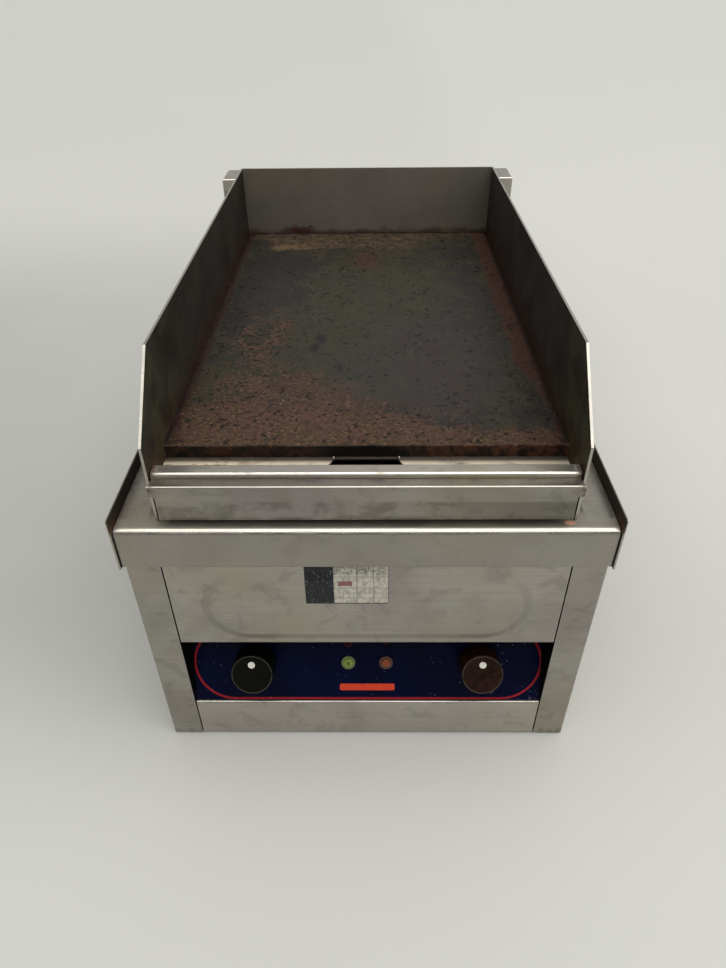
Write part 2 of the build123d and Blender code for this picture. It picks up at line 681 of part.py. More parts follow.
gx, gz = GLAND
CORD_RADIUS = 6.0
gland = bar((gx, 625, gz), (gx, REAR_FACE, gz), GLAND_RADIUS)
gland += Plane(origin=(gx, REAR_FACE, gz), z_dir=(0, 1, 0)) * hexagon(24, 6)
dome = bar((gx, REAR_FACE + 6, gz), (gx, REAR_FACE + 19, gz), 11.5)
gland += fillet(dome.edges().sort_by(Axis.Y)[-1], 3.0)
parts["cable_gland"] = gland - bar((gx, 620, gz), (gx, 660, gz), CORD_RADIUS)
locknut = Plane(origin=(gx, 630.3, gz), z_dir=(0, 1, 0)) * hexagon(26, 5)
parts["gland_locknut"] = locknut - bar((gx, 625, gz), (gx, 640, gz), GLAND_RADIUS)

ex, ez = EARTH
parts["earth_stud"] = bar((ex, 622, ez), (ex, 652, ez), 3.0)
earth_nut = hexagon(10, 4) - bar((0, 0, -1), (0, 0, 5), 3.0)
nut_seats = [REAR_FACE - PANEL_SHEET - 4, REAR_FACE, 644.0]
parts["earth_nuts"] = joined(
    [Plane(origin=(ex, y, ez), z_dir=(0, 1, 0)) * earth_nut for y in nut_seats]
)

BLOCK_X = (-150.0, -90.0)
BLOCK_Y = (575.0, 597.0)
BLOCK_TOP = 27.0
poles = [BLOCK_X[0] + 10 * (number + 1) for number in range(5)]
terminal_block = block(*BLOCK_X, *BLOCK_Y, BASE_TOP, BLOCK_TOP)
pole_y = sum(BLOCK_Y) / 2
clamp_screws = joined([bar((x, pole_y, 17), (x, pole_y, BLOCK_TOP + 0.5), 2.6) for x in poles])
parts["terminal_block"] = terminal_block - clamp_screws
parts["terminal_screws"] = clamp_screws

WIRE = 1.4
WIRE_GAP = 0.1  # the wires stop just short of the terminal block
wires = []
# Supply wires run forward over the base from the terminal block to the selector switch.
for number, x in enumerate(poles[:4]):
    up = CONTROL_ROW - 12 + 8 * number
    end = spot(-KNOB_X - 12 + 8 * number, up, -SWITCH_DEEP)
    lead = spot(-KNOB_X - 12 + 8 * number, up, -SWITCH_DEEP - 14)
    wires.append(tube([(x, BLOCK_Y[0] - WIRE_GAP, 14), (x, lead.Y + 60, 14), lead, end], 4.0, WIRE))
# The switch and the thermostat each feed the two ends of one element.
for number, x in enumerate(rod_ends):
    casing, deep = (-KNOB_X, SWITCH_DEEP) if x < 0 else (KNOB_X, THERMOSTAT_DEEP)
    offset = 14 if number in (1, 3) else -14
    end = spot(casing + offset, CONTROL_ROW + 15, -deep)
    lead = spot(casing + offset, CONTROL_ROW + 15, -deep - 12)
    level = 150 + 12 * number
    wires.append(
        tube(
            [
                end,
                lead,
                (casing + offset, lead.Y, level),
                (x, ROD_FRONT, level),
                (x, ROD_FRONT, STUD_END),
            ],
            4.0,
            WIRE,
        )
    )
# One wire joins each lamp to the control beside it.
for x, casing, deep in ((-LAMP_X, -KNOB_X + 8, SWITCH_DEEP), (LAMP_X, KNOB_X - 8, THERMOSTAT_DEEP)):
    up = CONTROL_ROW - 17
    lamp_end, lamp_turn = spot(x, CONTROL_ROW, -26), spot(x, CONTROL_ROW, -56)
    casing_turn, casing_end = spot(casing, up, -56), spot(casing, up, -deep)
    wires.append(tube([lamp_end, lamp_turn, casing_turn, casing_end], 4.0, WIRE))
parts["wiring"] = joined(wires)

# ================================================================ export
MIDDLE = (TOP_BACK - KNOB_REACH) / 2
for name, shape in parts.items():
    export_step(Pos(0, -MIDDLE, 0) * shape, f"parts/{name}.step")
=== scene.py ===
"""Looks of the countertop flat top griddle: camera, floor, light, materials and small worn details.

Everything is in metres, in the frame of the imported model. Positions come from the model's own boxes.
"""

import json
import math
import random

import bmesh
import bpy
from mathutils import Matrix, Vector, noise as field


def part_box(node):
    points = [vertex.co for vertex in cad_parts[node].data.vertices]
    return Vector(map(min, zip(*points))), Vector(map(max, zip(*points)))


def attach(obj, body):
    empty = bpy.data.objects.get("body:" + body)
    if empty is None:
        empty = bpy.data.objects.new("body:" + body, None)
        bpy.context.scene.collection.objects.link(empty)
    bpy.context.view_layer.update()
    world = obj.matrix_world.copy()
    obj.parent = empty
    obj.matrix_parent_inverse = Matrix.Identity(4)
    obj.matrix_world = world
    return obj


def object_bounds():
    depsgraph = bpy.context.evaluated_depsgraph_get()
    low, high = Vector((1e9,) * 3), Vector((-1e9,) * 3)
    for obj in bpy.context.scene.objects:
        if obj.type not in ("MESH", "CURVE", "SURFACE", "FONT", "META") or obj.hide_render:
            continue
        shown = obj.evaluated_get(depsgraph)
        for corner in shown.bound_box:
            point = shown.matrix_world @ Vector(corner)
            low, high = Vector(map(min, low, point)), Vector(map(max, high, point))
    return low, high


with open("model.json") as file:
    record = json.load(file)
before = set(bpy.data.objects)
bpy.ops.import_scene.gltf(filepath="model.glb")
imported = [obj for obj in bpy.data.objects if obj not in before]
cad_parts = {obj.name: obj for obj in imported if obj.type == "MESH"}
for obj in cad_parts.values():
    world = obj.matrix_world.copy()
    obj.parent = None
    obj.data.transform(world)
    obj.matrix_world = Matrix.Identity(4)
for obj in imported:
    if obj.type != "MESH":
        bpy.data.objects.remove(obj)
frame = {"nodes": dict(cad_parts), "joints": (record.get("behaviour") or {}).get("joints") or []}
cad_low, cad_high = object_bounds()
nodes = frame["nodes"]
scene = bpy.context.scene
scene.view_settings.view_transform = "Standard"
MM = 0.001


def srgb(red, green, blue):
    """A colour given as 0-255 display values, as the linear colour that a shader takes."""
    shares = [value / 255 for value in (red, green, blue)]
    return tuple(s / 12.92 if s <= 0.04045 else ((s + 0.055) / 1.055) ** 2.4 for s in shares) + (1.0,)


def scaled(colour, *factors):
    """The colour times one factor, or times one factor for each channel."""
    factors = factors * 3 if len(factors) == 1 else factors
    return tuple(channel * factor for channel, factor in zip(colour, factors)) + (1.0,)


# ---- camera
def aim_camera():
    """Stands the camera in front of the griddle, looking down on the plate."""
    yaw, pitch, roll = (math.radians(angle) for angle in (-0.803, 37.868, 0.632))
    forward = Vector((math.sin(yaw) * math.cos(pitch), math.cos(yaw) * math.cos(pitch), -math.sin(pitch)))
    level = Vector((math.cos(yaw), -math.sin(yaw), 0))
    down = forward.cross(level)
    right = level * math.cos(roll) + down * math.sin(roll)
    up = level * math.sin(roll) - down * math.cos(roll)
    lens = bpy.data.cameras.new("camera")
    lens.lens, lens.sensor_width = 26.07, 36.0
    lens.clip_start, lens.clip_end = 0.01, 60.0
    camera = bpy.data.objects.new("camera", lens)
    turned = Matrix((right, up, -forward)).transposed().to_4x4()
    camera.matrix_world = Matrix.Translation((3.98 * MM, -739.0 * MM, 652.18 * MM)) @ turned
    scene.collection.objects.link(camera)
    scene.camera = camera


aim_camera()


# ---- material kit
class Surface:
    """One procedural material. Lengths are metres of the model's frame."""

    def __init__(self, name, **constants):
        self.material = bpy.data.materials.new(name)
        self.material.use_nodes = True
        tree = self.material.node_tree
        self.nodes, self.links = tree.nodes, tree.links
        self.shader = self.nodes["Principled BSDF"]
        self.colour, self.rough, self.metal = None, None, 1.0
        for socket, value in constants.items():
            self.shader.inputs[socket.replace("_", " ")].default_value = value
        coordinates = self.add("ShaderNodeTexCoord")
        self.place, self.facing = coordinates.outputs["Object"], coordinates.outputs["Normal"]
        split = self.add("ShaderNodeSeparateXYZ", (self.place,))
        self.x, self.y, self.z = split.outputs
        split = self.add("ShaderNodeSeparateXYZ", (self.facing,))
        self.facing_x, self.facing_y, self.facing_z = split.outputs
        self.off_middle = self.unsigned(self.x)

    def add(self, kind, inputs=(), **settings):
        node = self.nodes.new(kind)
        for name, value in settings.items():
            setattr(node, name, value)
        pairs = inputs.items() if isinstance(inputs, dict) else enumerate(inputs)
        for key, value in pairs:
            if value is not None:
                self.put(node.inputs[key], value)
        return node

    def put(self, socket, value):
        if isinstance(value, bpy.types.NodeSocket):
            self.links.new(value, socket)
        else:
            socket.default_value = value

    def calc(self, operation, *values, clamp=False):
        return self.add("ShaderNodeMath", values, operation=operation, use_clamp=clamp).outputs[0]

    def vector(self, operation, *values):
        return self.add("ShaderNodeVectorMath", values, operation=operation).outputs

    def times(self, *values):
        result = values[0]
        for value in values[1:]:
            result = self.calc("MULTIPLY", result, value)
        return result

    def plus(self, *values):
        result = values[0]
        for value in values[1:]:
            result = self.calc("ADD", result, value)
        return result

    def most(self, *values):
        result = values[0]
        for value in values[1:]:
            result = self.calc("MAXIMUM", result, value)
        return result

    def minus(self, first, second):
        return self.calc("SUBTRACT", first, second)

    def flip(self, value):
        return self.minus(1.0, value)

    def unsigned(self, value):
        return self.calc("ABSOLUTE", value)

    def fade(self, value, start, end, low=0.0, high=1.0):
        """low where value is before start, high where it is past end, smooth between."""
        if start > end:
            start, end, low, high = end, start, high, low
        return self.add(
            "ShaderNodeMapRange", (value, start, end, low, high), interpolation_type="SMOOTHSTEP"
        ).outputs[0]

    def band(self, value, low, high, soft):
        """1 between low and high, fading to 0 over soft outside them."""
        return self.times(self.fade(value, low - soft, low), self.fade(value, high + soft, high))

    def noise(self, size, detail=3.0, rough=0.55, stretch=(1, 1, 1), shift=0.0, warp=0.0):
        """Smooth random values near 0.5 whose patches are about size across, times stretch along each axis."""
        moved = self.add("ShaderNodeMapping", {
            "Vector": self.place, "Location": (shift, shift * 1.7, shift * 0.6),
            "Scale": tuple(1 / (size * s) for s in stretch),
        }).outputs[0]
        return self.add("ShaderNodeTexNoise", {
            "Vector": moved, "Scale": 1.0, "Detail": detail, "Roughness": rough, "Distortion": warp,
        }).outputs[0]

    def cells(self, size, shift=0.0, feature="F1", output="Distance"):
        moved = self.add("ShaderNodeMapping", {
            "Vector": self.place, "Location": (shift, shift * 1.3, shift * 0.7), "Scale": (1 / size,) * 3,
        }).outputs[0]
        return self.add("ShaderNodeTexVoronoi", {"Vector": moved, "Scale": 1.0}, feature=feature).outputs[output]

    def specks(self, size, share, shift=0.0):
        """Small scattered dots of about size, in share of the cells."""
        chosen = self.cells(size * 3, shift, output="Color")
        red = self.add("ShaderNodeSeparateColor", (chosen,)).outputs[0]
        return self.times(self.fade(self.cells(size * 3, shift), 0.2, 0.12), self.fade(red, share, share * 0.98))

    def grain(self, fine, length, shift=0.0):
        """Brushing lines, fine across and length along: level on upright faces, sideways on level ones."""
        crosswise = self.noise(fine, 2.0, 0.6, (length / fine, 1, 1), shift)
        lengthwise = self.noise(fine, 2.0, 0.6, (1, length / fine, 1), shift + 3.1)
        side_on = self.fade(self.unsigned(self.facing_x), 0.4, 0.9)
        return self.add("ShaderNodeMix", (side_on, None, crosswise, lengthwise)).outputs[0]

    def scratches(self, size, length, turn, shift=0.0, thin=0.012):
        """Fine wandering lines, turn degrees off level."""
        turned = self.add("ShaderNodeMapping", {
            "Vector": self.place, "Rotation": (0, math.radians(turn), math.radians(turn)),
            "Location": (shift, shift, shift),
            "Scale": (1 / length, 1 / size, 1 / size),
        }).outputs[0]
        value = self.add("ShaderNodeTexNoise", {"Vector": turned, "Scale": 1.0, "Detail": 1.0}).outputs[0]
        off = self.unsigned(self.minus(value, 0.5))
        broken = self.fade(self.noise(0.03, 1.0, shift=shift + 7), 0.52, 0.62)
        return self.times(self.fade(off, thin, thin * 0.3), broken)

    def tint(self, factor, below, above, mode="MIX"):
        node = self.add("ShaderNodeMix", data_type="RGBA", blend_type=mode)
        for index, value in ((0, factor), (6, below), (7, above)):
            self.put(node.inputs[index], value)
        return node.outputs[2]

    def patch(self, centre, radius, ragged=0.8, size=0.02, soft=0.35, shift=0.0, axes="xy"):
        """A ragged-edged stain, an ellipse of the given centre and radii in the plane of two axes."""
        first, second = (getattr(self, axis) for axis in axes)
        across = self.calc("DIVIDE", self.minus(first, centre[0]), radius[0])
        along = self.calc("DIVIDE", self.minus(second, centre[1]), radius[1])
        far = self.calc("SQRT", self.plus(self.times(across, across), self.times(along, along)))
        torn = self.times(self.minus(self.noise(size, 5.0, 0.65, shift=shift), 0.5), ragged * 2)
        return self.fade(self.plus(far, torn), 1.0 + soft / 2, 1.0 - soft / 2)

    def off_axis(self, centre, direction):
        """Distance from the line through centre along direction."""
        arm = self.vector("SUBTRACT", self.place, tuple(centre))[0]
        crossed = self.vector("CROSS_PRODUCT", arm, tuple(direction))[0]
        return self.vector("LENGTH", crossed)["Value"]

    def lay(self, mask, colour, share=1.0):
        """Lays a colour over what is there, where mask says."""
        cover = mask if share == 1.0 else self.times(mask, share)
        self.colour = self.tint(cover, self.colour, colour)

    def soil(self, mask, dirt, dirt_rough, share=1.0):
        """Lays dirt over metal, where mask says."""
        cover = mask if share == 1.0 else self.times(mask, share)
        clean = self.flip(cover)
        self.colour = self.tint(cover, self.colour, dirt)
        self.rough = self.plus(self.times(self.rough, clean), self.times(cover, dirt_rough))
        self.metal = self.times(self.metal, clean)

    def edges(self, radius):
        """1 on sharp edges, fading over radius."""
        rounded = self.add("ShaderNodeBevel", {"Radius": radius}, samples=4).outputs[0]
        flat = self.add("ShaderNodeNewGeometry").outputs["Normal"]
        agree = self.vector("DOT_PRODUCT", rounded, flat)["Value"]
        return self.fade(agree, 0.985, 0.86)

    def relief(self, *layers):
        """Bumps the surface. Each layer is (height between 0 and 1, depth in metres)."""
        normal = None
        for height, depth in layers:
            bump = self.add("ShaderNodeBump", {"Height": height, "Distance": depth, "Strength": 1.0})
            if normal:
                self.put(bump.inputs["Normal"], normal)
            normal = bump.outputs[0]
        self.put(self.shader.inputs["Normal"], normal)

    def finish(self, roughness=None, metallic=None):
        self.put(self.shader.inputs["Base Color"], self.colour)
        if roughness is not None:
            self.put(self.shader.inputs["Roughness"], roughness)
        if metallic is not None:
            self.put(self.shader.inputs["Metallic"], metallic)
        return self.material


def dress(material, *names):
    """Puts a material in the slots of CAD nodes."""
    for name in names:
        slots = nodes[name].material_slots
        for slot in slots:
            slot.material = material
        if not slots:
            nodes[name].data.materials.append(material)


# ---- places on the model
plate_low, plate_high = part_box("griddle_plate")
label_low, label_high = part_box("rating_label")
gutter_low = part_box("drain_gutter")[0]
drawer_low, drawer_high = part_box("drawer_front")
worktop_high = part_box("worktop")[1]
control_joint = {joint["child"]: joint for joint in frame["joints"]}
lean = Vector(control_joint["left_control"]["axis"]).normalized()
up_slope = Vector((0, -lean.z, lean.y))
slope_foot = Vector((0, -320.5 * MM, 55 * MM))
guard_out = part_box("right_guard")[1].x
ledge_top = 319 * MM  # the gutter's ledge, behind its lip
lip_end = 163.2 * MM

# ---- stainless steel
STEEL = (0.38, 0.358, 0.317, 1.0)
RUST = srgb(112, 62, 34)
GREASE = srgb(34, 26, 20)
TAN = srgb(150, 118, 84)


def steel(name, tone=STEEL, roughness=0.36, cloudiness=0.35, stains=None, smears=0.0, painted_fold_highlight=0.75, dirt_shine=0.3):
    """Brushed stainless sheet with fingermarks, dull clouds, hairline scratches, bright worn edges and a painted
    highlight on folds.

    stains(surface) may soil it. The fold highlight argument is how strongly a highlight is painted on folds facing
    up and forward, dirt_shine how glossy the dirt is.
    """
    s = Surface(name, Specular_IOR_Level=dirt_shine)
    fine = s.grain(0.35 * MM, 45 * MM)
    broad = s.grain(2.2 * MM, 160 * MM, 11.0)
    cloud = s.noise(0.075, 5.0, 0.6, shift=2.0, warp=0.4)
    smudge = s.noise(0.022, 4.0, 0.6, shift=5.0, warp=0.8)
    hairline = s.most(s.scratches(1.1 * MM, 60 * MM, 3, 1.0), s.scratches(1.4 * MM, 35 * MM, -24, 9.0, 0.008))
    s.colour = s.tint(s.fade(fine, 0.3, 0.7), scaled(tone, 0.93), scaled(tone, 1.07))
    s.lay(s.fade(broad, 0.35, 0.68), scaled(tone, 1.1))
    s.lay(s.times(s.fade(cloud, 0.42, 0.64), cloudiness), scaled(tone, 0.66))
    tint = s.noise(0.13, 3.0, 0.5, shift=21.0)
    s.lay(s.fade(tint, 0.5, 0.66, high=0.55), scaled(tone, 1.06, 1.0, 0.84))
    s.lay(s.fade(tint, 0.48, 0.34, high=0.5), scaled(tone, 0.94, 0.88, 0.96))
    s.lay(s.fade(smudge, 0.54, 0.66, high=0.4), scaled(tone, 0.68))
    s.rough = s.plus(roughness, s.fade(cloud, 0.35, 0.7, -0.04, 0.09), s.fade(smudge, 0.45, 0.7, 0.0, 0.08))
    if smears:
        run = s.noise(7 * MM, 3.0, 0.6, (1, 1, 14), 33.0)
        run = s.times(s.fade(run, 0.5, 0.68), s.fade(s.noise(0.06, 2.0, shift=41.0), 0.46, 0.62), smears)
        s.lay(run, scaled(tone, 1.16, 1.2, 1.28))
        s.rough = s.plus(s.rough, s.times(run, 0.12))
    s.lay(hairline, scaled(tone, 1.35), 0.35)
    worn = s.times(s.edges(0.9 * MM), s.fade(s.noise(0.012, 3.0, shift=15.0), 0.3, 0.6, 0.45, 1.0))
    s.lay(worn, scaled(tone, 1.55))
    s.rough = s.plus(s.rough, s.times(worn, -0.1))
    # painted highlight: folds facing up and forward are painted brighter and glossier
    fold = s.times(s.fade(s.facing_z, 0.2, 0.5), s.fade(s.facing_z, 0.99, 0.93), s.fade(s.facing_y, -0.1, -0.3))
    s.lay(s.times(fold, painted_fold_highlight), scaled(tone, 2.0))
    s.rough = s.plus(s.rough, s.times(fold, -0.12))
    if stains:
        stains(s)
    s.relief((fine, 0.012 * MM), (broad, 0.02 * MM), (s.flip(hairline), 0.02 * MM), (cloud, 0.09 * MM))
    return s.finish(s.rough, s.metal)


def front_stains(s):
    """Yellowish specks on the upright front sheets, and painted shade on the slope round the pressed plateau."""
    # painted shade: the plateau's slopes, all but the upward ones, are painted darker
    painted_plateau_shade = s.times(s.fade(s.facing_y, -0.995, -0.98), s.fade(s.facing_y, -0.5, -0.7), s.fade(s.facing_z, 0.25, 0.1))
    s.lay(painted_plateau_shade, (0.2, 0.185, 0.16, 1.0), 0.3)
    specks = s.times(s.fade(s.noise(5 * MM, 4.0, 0.7, shift=51.0), 0.62, 0.7), 0.45)
    s.soil(specks, srgb(158, 146, 110), 0.6)


def side_stains(s):
    """The ears' inner faces beside the worktop are darkened to brown and black in patches."""
    outer = s.fade(s.off_middle, cad_high.x - 0.9 * MM, cad_high.x - 0.5 * MM)
    above = s.fade(s.z, worktop_high.z - 3 * MM, worktop_high.z + 0.5 * MM)
    inner = s.times(above, s.flip(outer))
    patchy = s.fade(s.noise(0.014, 4.0, 0.65, (1, 2.5, 1), 61.0), 0.2, 0.42, 0.75, 0.97)
    s.soil(s.times(inner, patchy), srgb(42, 36, 29), 0.7)
    front_corner = (cad_low.y + 0.006, worktop_high.z - 2 * MM)
    rusty = s.patch(front_corner, (0.016, 0.006), 1.0, 8 * MM, axes="yz", shift=63.0)
    s.soil(s.times(inner, rusty), srgb(92, 58, 34), 0.8, 0.85)
    foot = s.times(s.fade(s.z, 0.012, 0.003), s.fade(s.noise(0.01, 4.0, 0.6, shift=65.0), 0.45, 0.62))
    s.soil(foot, srgb(88, 76, 62), 0.7, 0.55)


def worktop_stains(s):
    """Fat baked on beside the guards, painted shade on the front apron, painted light on the strip before the
    drawer, rust at its corner, dark joints at the sides.
    """
    # painted shade: the worktop's front-facing apron is painted darker
    painted_apron_shade = s.fade(s.facing_y, -0.8, -0.97)
    s.lay(painted_apron_shade, scaled(STEEL, 0.7), 0.6)
    beside = s.band(s.off_middle, guard_out + 2.1 * MM, guard_out + 5.6 * MM, 4 * MM)
    back = s.times(beside, s.fade(s.y, drawer_low.y, drawer_low.y + 0.03), s.fade(s.facing_z, 0.8, 0.95))
    burnt = s.times(back, s.fade(s.noise(0.012, 4.0, 0.65, (1, 3, 1), 71.0), 0.38, 0.56))
    s.soil(burnt, GREASE, 0.65, 0.9)
    rim = s.times(
        s.fade(s.off_middle, 190 * MM, 198.5 * MM), s.fade(s.z, worktop_high.z - 1.5 * MM, worktop_high.z),
        s.fade(s.noise(0.01, 4.0, 0.6, (1, 4, 1), 73.0), 0.42, 0.6),
    )
    s.soil(rim, srgb(70, 54, 42), 0.7, 0.8)
    level = s.fade(s.z, worktop_high.z - 0.8 * MM, worktop_high.z - 0.3 * MM)
    # painted light: a pale matte strip before the drawer lightens the shade under it
    painted_light_before_drawer = s.times(
        level, s.fade(s.y, drawer_low.y + 12 * MM, drawer_low.y + 9 * MM),
        s.fade(s.noise(0.02, 3.0, shift=75.0), 0.2, 0.6, 0.35, 0.75),
    )
    s.soil(painted_light_before_drawer, srgb(134, 129, 116), 0.6, 0.85)
    drawer_corner = (drawer_high.x - 4.5 * MM, drawer_low.y + 5.5 * MM)
    rusty = s.patch(drawer_corner, (4 * MM, 2.8 * MM), 0.8, 3 * MM, 0.6, shift=77.0)
    s.soil(s.times(level, rusty), srgb(206, 156, 118), 0.85, 0.9)
    joint = s.fade(s.off_middle, worktop_high.x - 1.5 * MM, worktop_high.x - 0.9 * MM)
    s.soil(joint, srgb(15, 12, 9), 0.8, 0.97)


def drawer_stains(s):
    """Blotches on the drawer's face, a dark bottom edge, rusty hood ends, and dry spills on the hood."""
    face = s.fade(s.z, drawer_high.z - 13 * MM, drawer_high.z - 16 * MM)
    blotch = s.times(face, s.fade(s.noise(0.018, 4.0, 0.6, (1.6, 1, 1), 81.0), 0.5, 0.64))
    s.soil(blotch, srgb(84, 78, 68), 0.5, 0.5)
    low = s.times(s.fade(s.z, drawer_low.z + 5 * MM, drawer_low.z), s.fade(s.noise(0.02, 3.0, shift=83.0), 0.3, 0.6))
    s.soil(low, srgb(66, 56, 44), 0.6, 0.6)
    right = s.times(face, s.fade(s.x, -0.03, 0.15))
    s.soil(right, srgb(76, 72, 64), 0.45, 0.5)
    ends = s.fade(s.off_middle, drawer_high.x - 6 * MM, drawer_high.x - 1 * MM)
    ends = s.times(ends, s.flip(face), s.fade(s.noise(4 * MM, 4.0, 0.65, shift=87.0), 0.42, 0.58))
    s.soil(ends, srgb(92, 58, 36), 0.8, 0.75)
    spill = s.times(s.flip(face), s.fade(s.noise(6 * MM, 4.0, 0.7, shift=85.0), 0.6, 0.72))
    s.soil(spill, srgb(150, 138, 112), 0.6, 0.45)


def gutter_stains(s):
    """Beige dried fat on the ledge, rust at its left end, black at the back, a mottled lip with rusty ends."""
    ledge = s.fade(s.y, gutter_low.y + 12 * MM, gutter_low.y + 14 * MM)
    ledge = s.times(s.fade(s.z, ledge_top + 3 * MM, ledge_top), ledge)
    film = s.times(ledge, s.fade(s.noise(9 * MM, 4.0, 0.65, (3, 1, 1), 91.0), 0.28, 0.5))
    s.soil(film, srgb(226, 211, 188), 0.6, 0.92)
    rusted = s.times(ledge, s.fade(s.noise(8 * MM, 5.0, 0.7, (2, 1, 1), 93.0), 0.5, 0.62))
    left = s.times(rusted, s.fade(s.x, -0.05, -0.15, 0.12, 1.0))
    s.soil(left, RUST, 0.85, 0.85)
    behind = s.times(ledge, s.fade(s.y, plate_low.y - 9 * MM, plate_low.y - 3 * MM))
    s.soil(behind, srgb(24, 17, 13), 0.7, 0.9)
    ends = s.fade(s.off_middle, lip_end - 6.2 * MM, lip_end - 0.7 * MM)
    ends = s.times(ends, s.flip(ledge), s.fade(s.noise(4 * MM, 4.0, 0.65, shift=97.0), 0.38, 0.52))
    s.soil(ends, srgb(74, 38, 24), 0.8, 0.9)
    mottled = s.fade(s.noise(0.012, 5.0, 0.65, (2, 1, 1), 95.0), 0.52, 0.66)
    mottled = s.times(mottled, s.flip(ledge))
    s.soil(mottled, srgb(128, 120, 100), 0.55, 0.42)


def guard_stains(s):
    """Cut edges painted bright as a highlight; inner faces painted dark as shade at the sides, the left darker than
    the right, brown near the plate, olive and red low down.
    """
    side = s.off_middle
    inside = s.times(
        s.fade(side, guard_out - 0.1 * MM, guard_out - 0.5 * MM), s.fade(s.z, gutter_low.z, gutter_low.z + 5 * MM)
    )
    inside = s.times(inside, s.fade(s.y, plate_high.y + 1.6 * MM, plate_high.y + 1.2 * MM))
    sideways = s.fade(s.unsigned(s.facing_x), 0.5, 0.8)
    forward = s.times(s.fade(s.facing_y, -0.5, -0.8), s.fade(s.y, plate_high.y - 2 * MM, plate_high.y - 1 * MM))
    turned_in = s.times(sideways, s.fade(side, guard_out - 1.0 * MM, guard_out - 1.4 * MM))
    inside = s.times(inside, s.most(turned_in, forward))
    # painted highlight: the cut edges, and faces that are neither side nor rear inner faces, are painted brighter
    painted_edge_highlight = s.times(s.flip(sideways), s.flip(forward), s.fade(s.noise(0.02, 3.0, shift=99.0), 0.3, 0.6, 0.5, 1.0))
    s.lay(painted_edge_highlight, (0.46, 0.44, 0.4, 1.0))
    runs = s.noise(5 * MM, 3.0, 0.6, (1, 1, 12), 101.0)
    uneven = s.noise(0.05, 4.0, 0.6, shift=103.0)
    veil_and_side_shade = s.times(inside, s.fade(s.plus(s.times(runs, 0.4), s.times(uneven, 0.6)), 0.3, 0.7, 0.3, 0.62))
    # painted shade: the side guards' inner faces are painted almost wholly dark, the left one darker than the right;
    # the rear one keeps a pale grey veil of runs
    at_side = s.fade(side, plate_high.x - 0.3 * MM, plate_high.x - 0.1 * MM)
    veil_and_side_shade = s.most(veil_and_side_shade, s.times(inside, at_side, s.fade(uneven, 0.3, 0.7, 0.93, 1.0)))
    tarnish = s.tint(s.fade(s.x, -0.1, 0.1), srgb(38, 34, 30), srgb(46, 41, 37))
    tarnish = s.tint(at_side, srgb(116, 108, 97), tarnish)
    s.soil(veil_and_side_shade, tarnish, 0.5)
    above = s.calc("DIVIDE", s.minus(s.z, plate_high.z), s.fade(at_side, 0.0, 1.0, 0.4, 1.0))
    torn = s.times(s.minus(s.noise(0.016, 5.0, 0.65, (1.5, 1.5, 1), 105.0), 0.5), 0.05)
    brown = s.times(inside, s.fade(s.plus(above, torn), 0.028, 0.004))
    s.soil(brown, srgb(58, 40, 30), 0.65, 0.85)
    olive = s.times(s.fade(s.y, plate_low.y + 0.12, plate_low.y), s.fade(s.noise(0.03, 3.0, shift=107.0), 0.4, 0.6))
    s.soil(s.times(inside, olive), srgb(74, 72, 52), 0.5, 0.55)
    red = s.patch((-0.09, plate_high.z + 5 * MM), (0.016, 7 * MM), 1.6, 9 * MM, 0.6, axes="xz", shift=109.0)
    red = s.times(inside, red, s.fade(s.y, plate_high.y - 3 * MM, plate_high.y - 1 * MM))
    s.soil(red, srgb(66, 30, 22), 0.7, 0.8)
    spots = s.times(inside, s.fade(s.noise(6 * MM, 5.0, 0.7, shift=111.0), 0.66, 0.74))
    s.soil(spots, srgb(40, 26, 20), 0.7, 0.8)


dress(steel("front_steel", scaled(STEEL, 0.93), 0.32, stains=front_stains), "upper_front_panel")
dress(
    steel("front_strip_steel", scaled(STEEL, 1.15), stains=front_stains, smears=0.8, painted_fold_highlight=0.0), "lower_front_panel"
)
dress(steel("side_steel", scaled(STEEL, 0.86), stains=side_stains), "left_side_panel", "right_side_panel")
dress(steel("worktop_steel", scaled(STEEL, 0.96), stains=worktop_stains, smears=0.25), "worktop")
dress(steel("drawer_steel", scaled(STEEL, 0.78), stains=drawer_stains, cloudiness=0.5), "drawer_front")
dress(steel("gutter_steel", scaled(STEEL, 1.45), 0.34, stains=gutter_stains), "drain_gutter")
dress(steel("upstand_steel", scaled(STEEL, 1.08), 0.32), "rear_upstand")
dress(
    steel("guard_steel", (0.36, 0.33, 0.29, 1.0), 0.38, 0.5, stains=guard_stains, dirt_shine=0.15),
    "left_guard", "right_guard", "rear_guard",
)


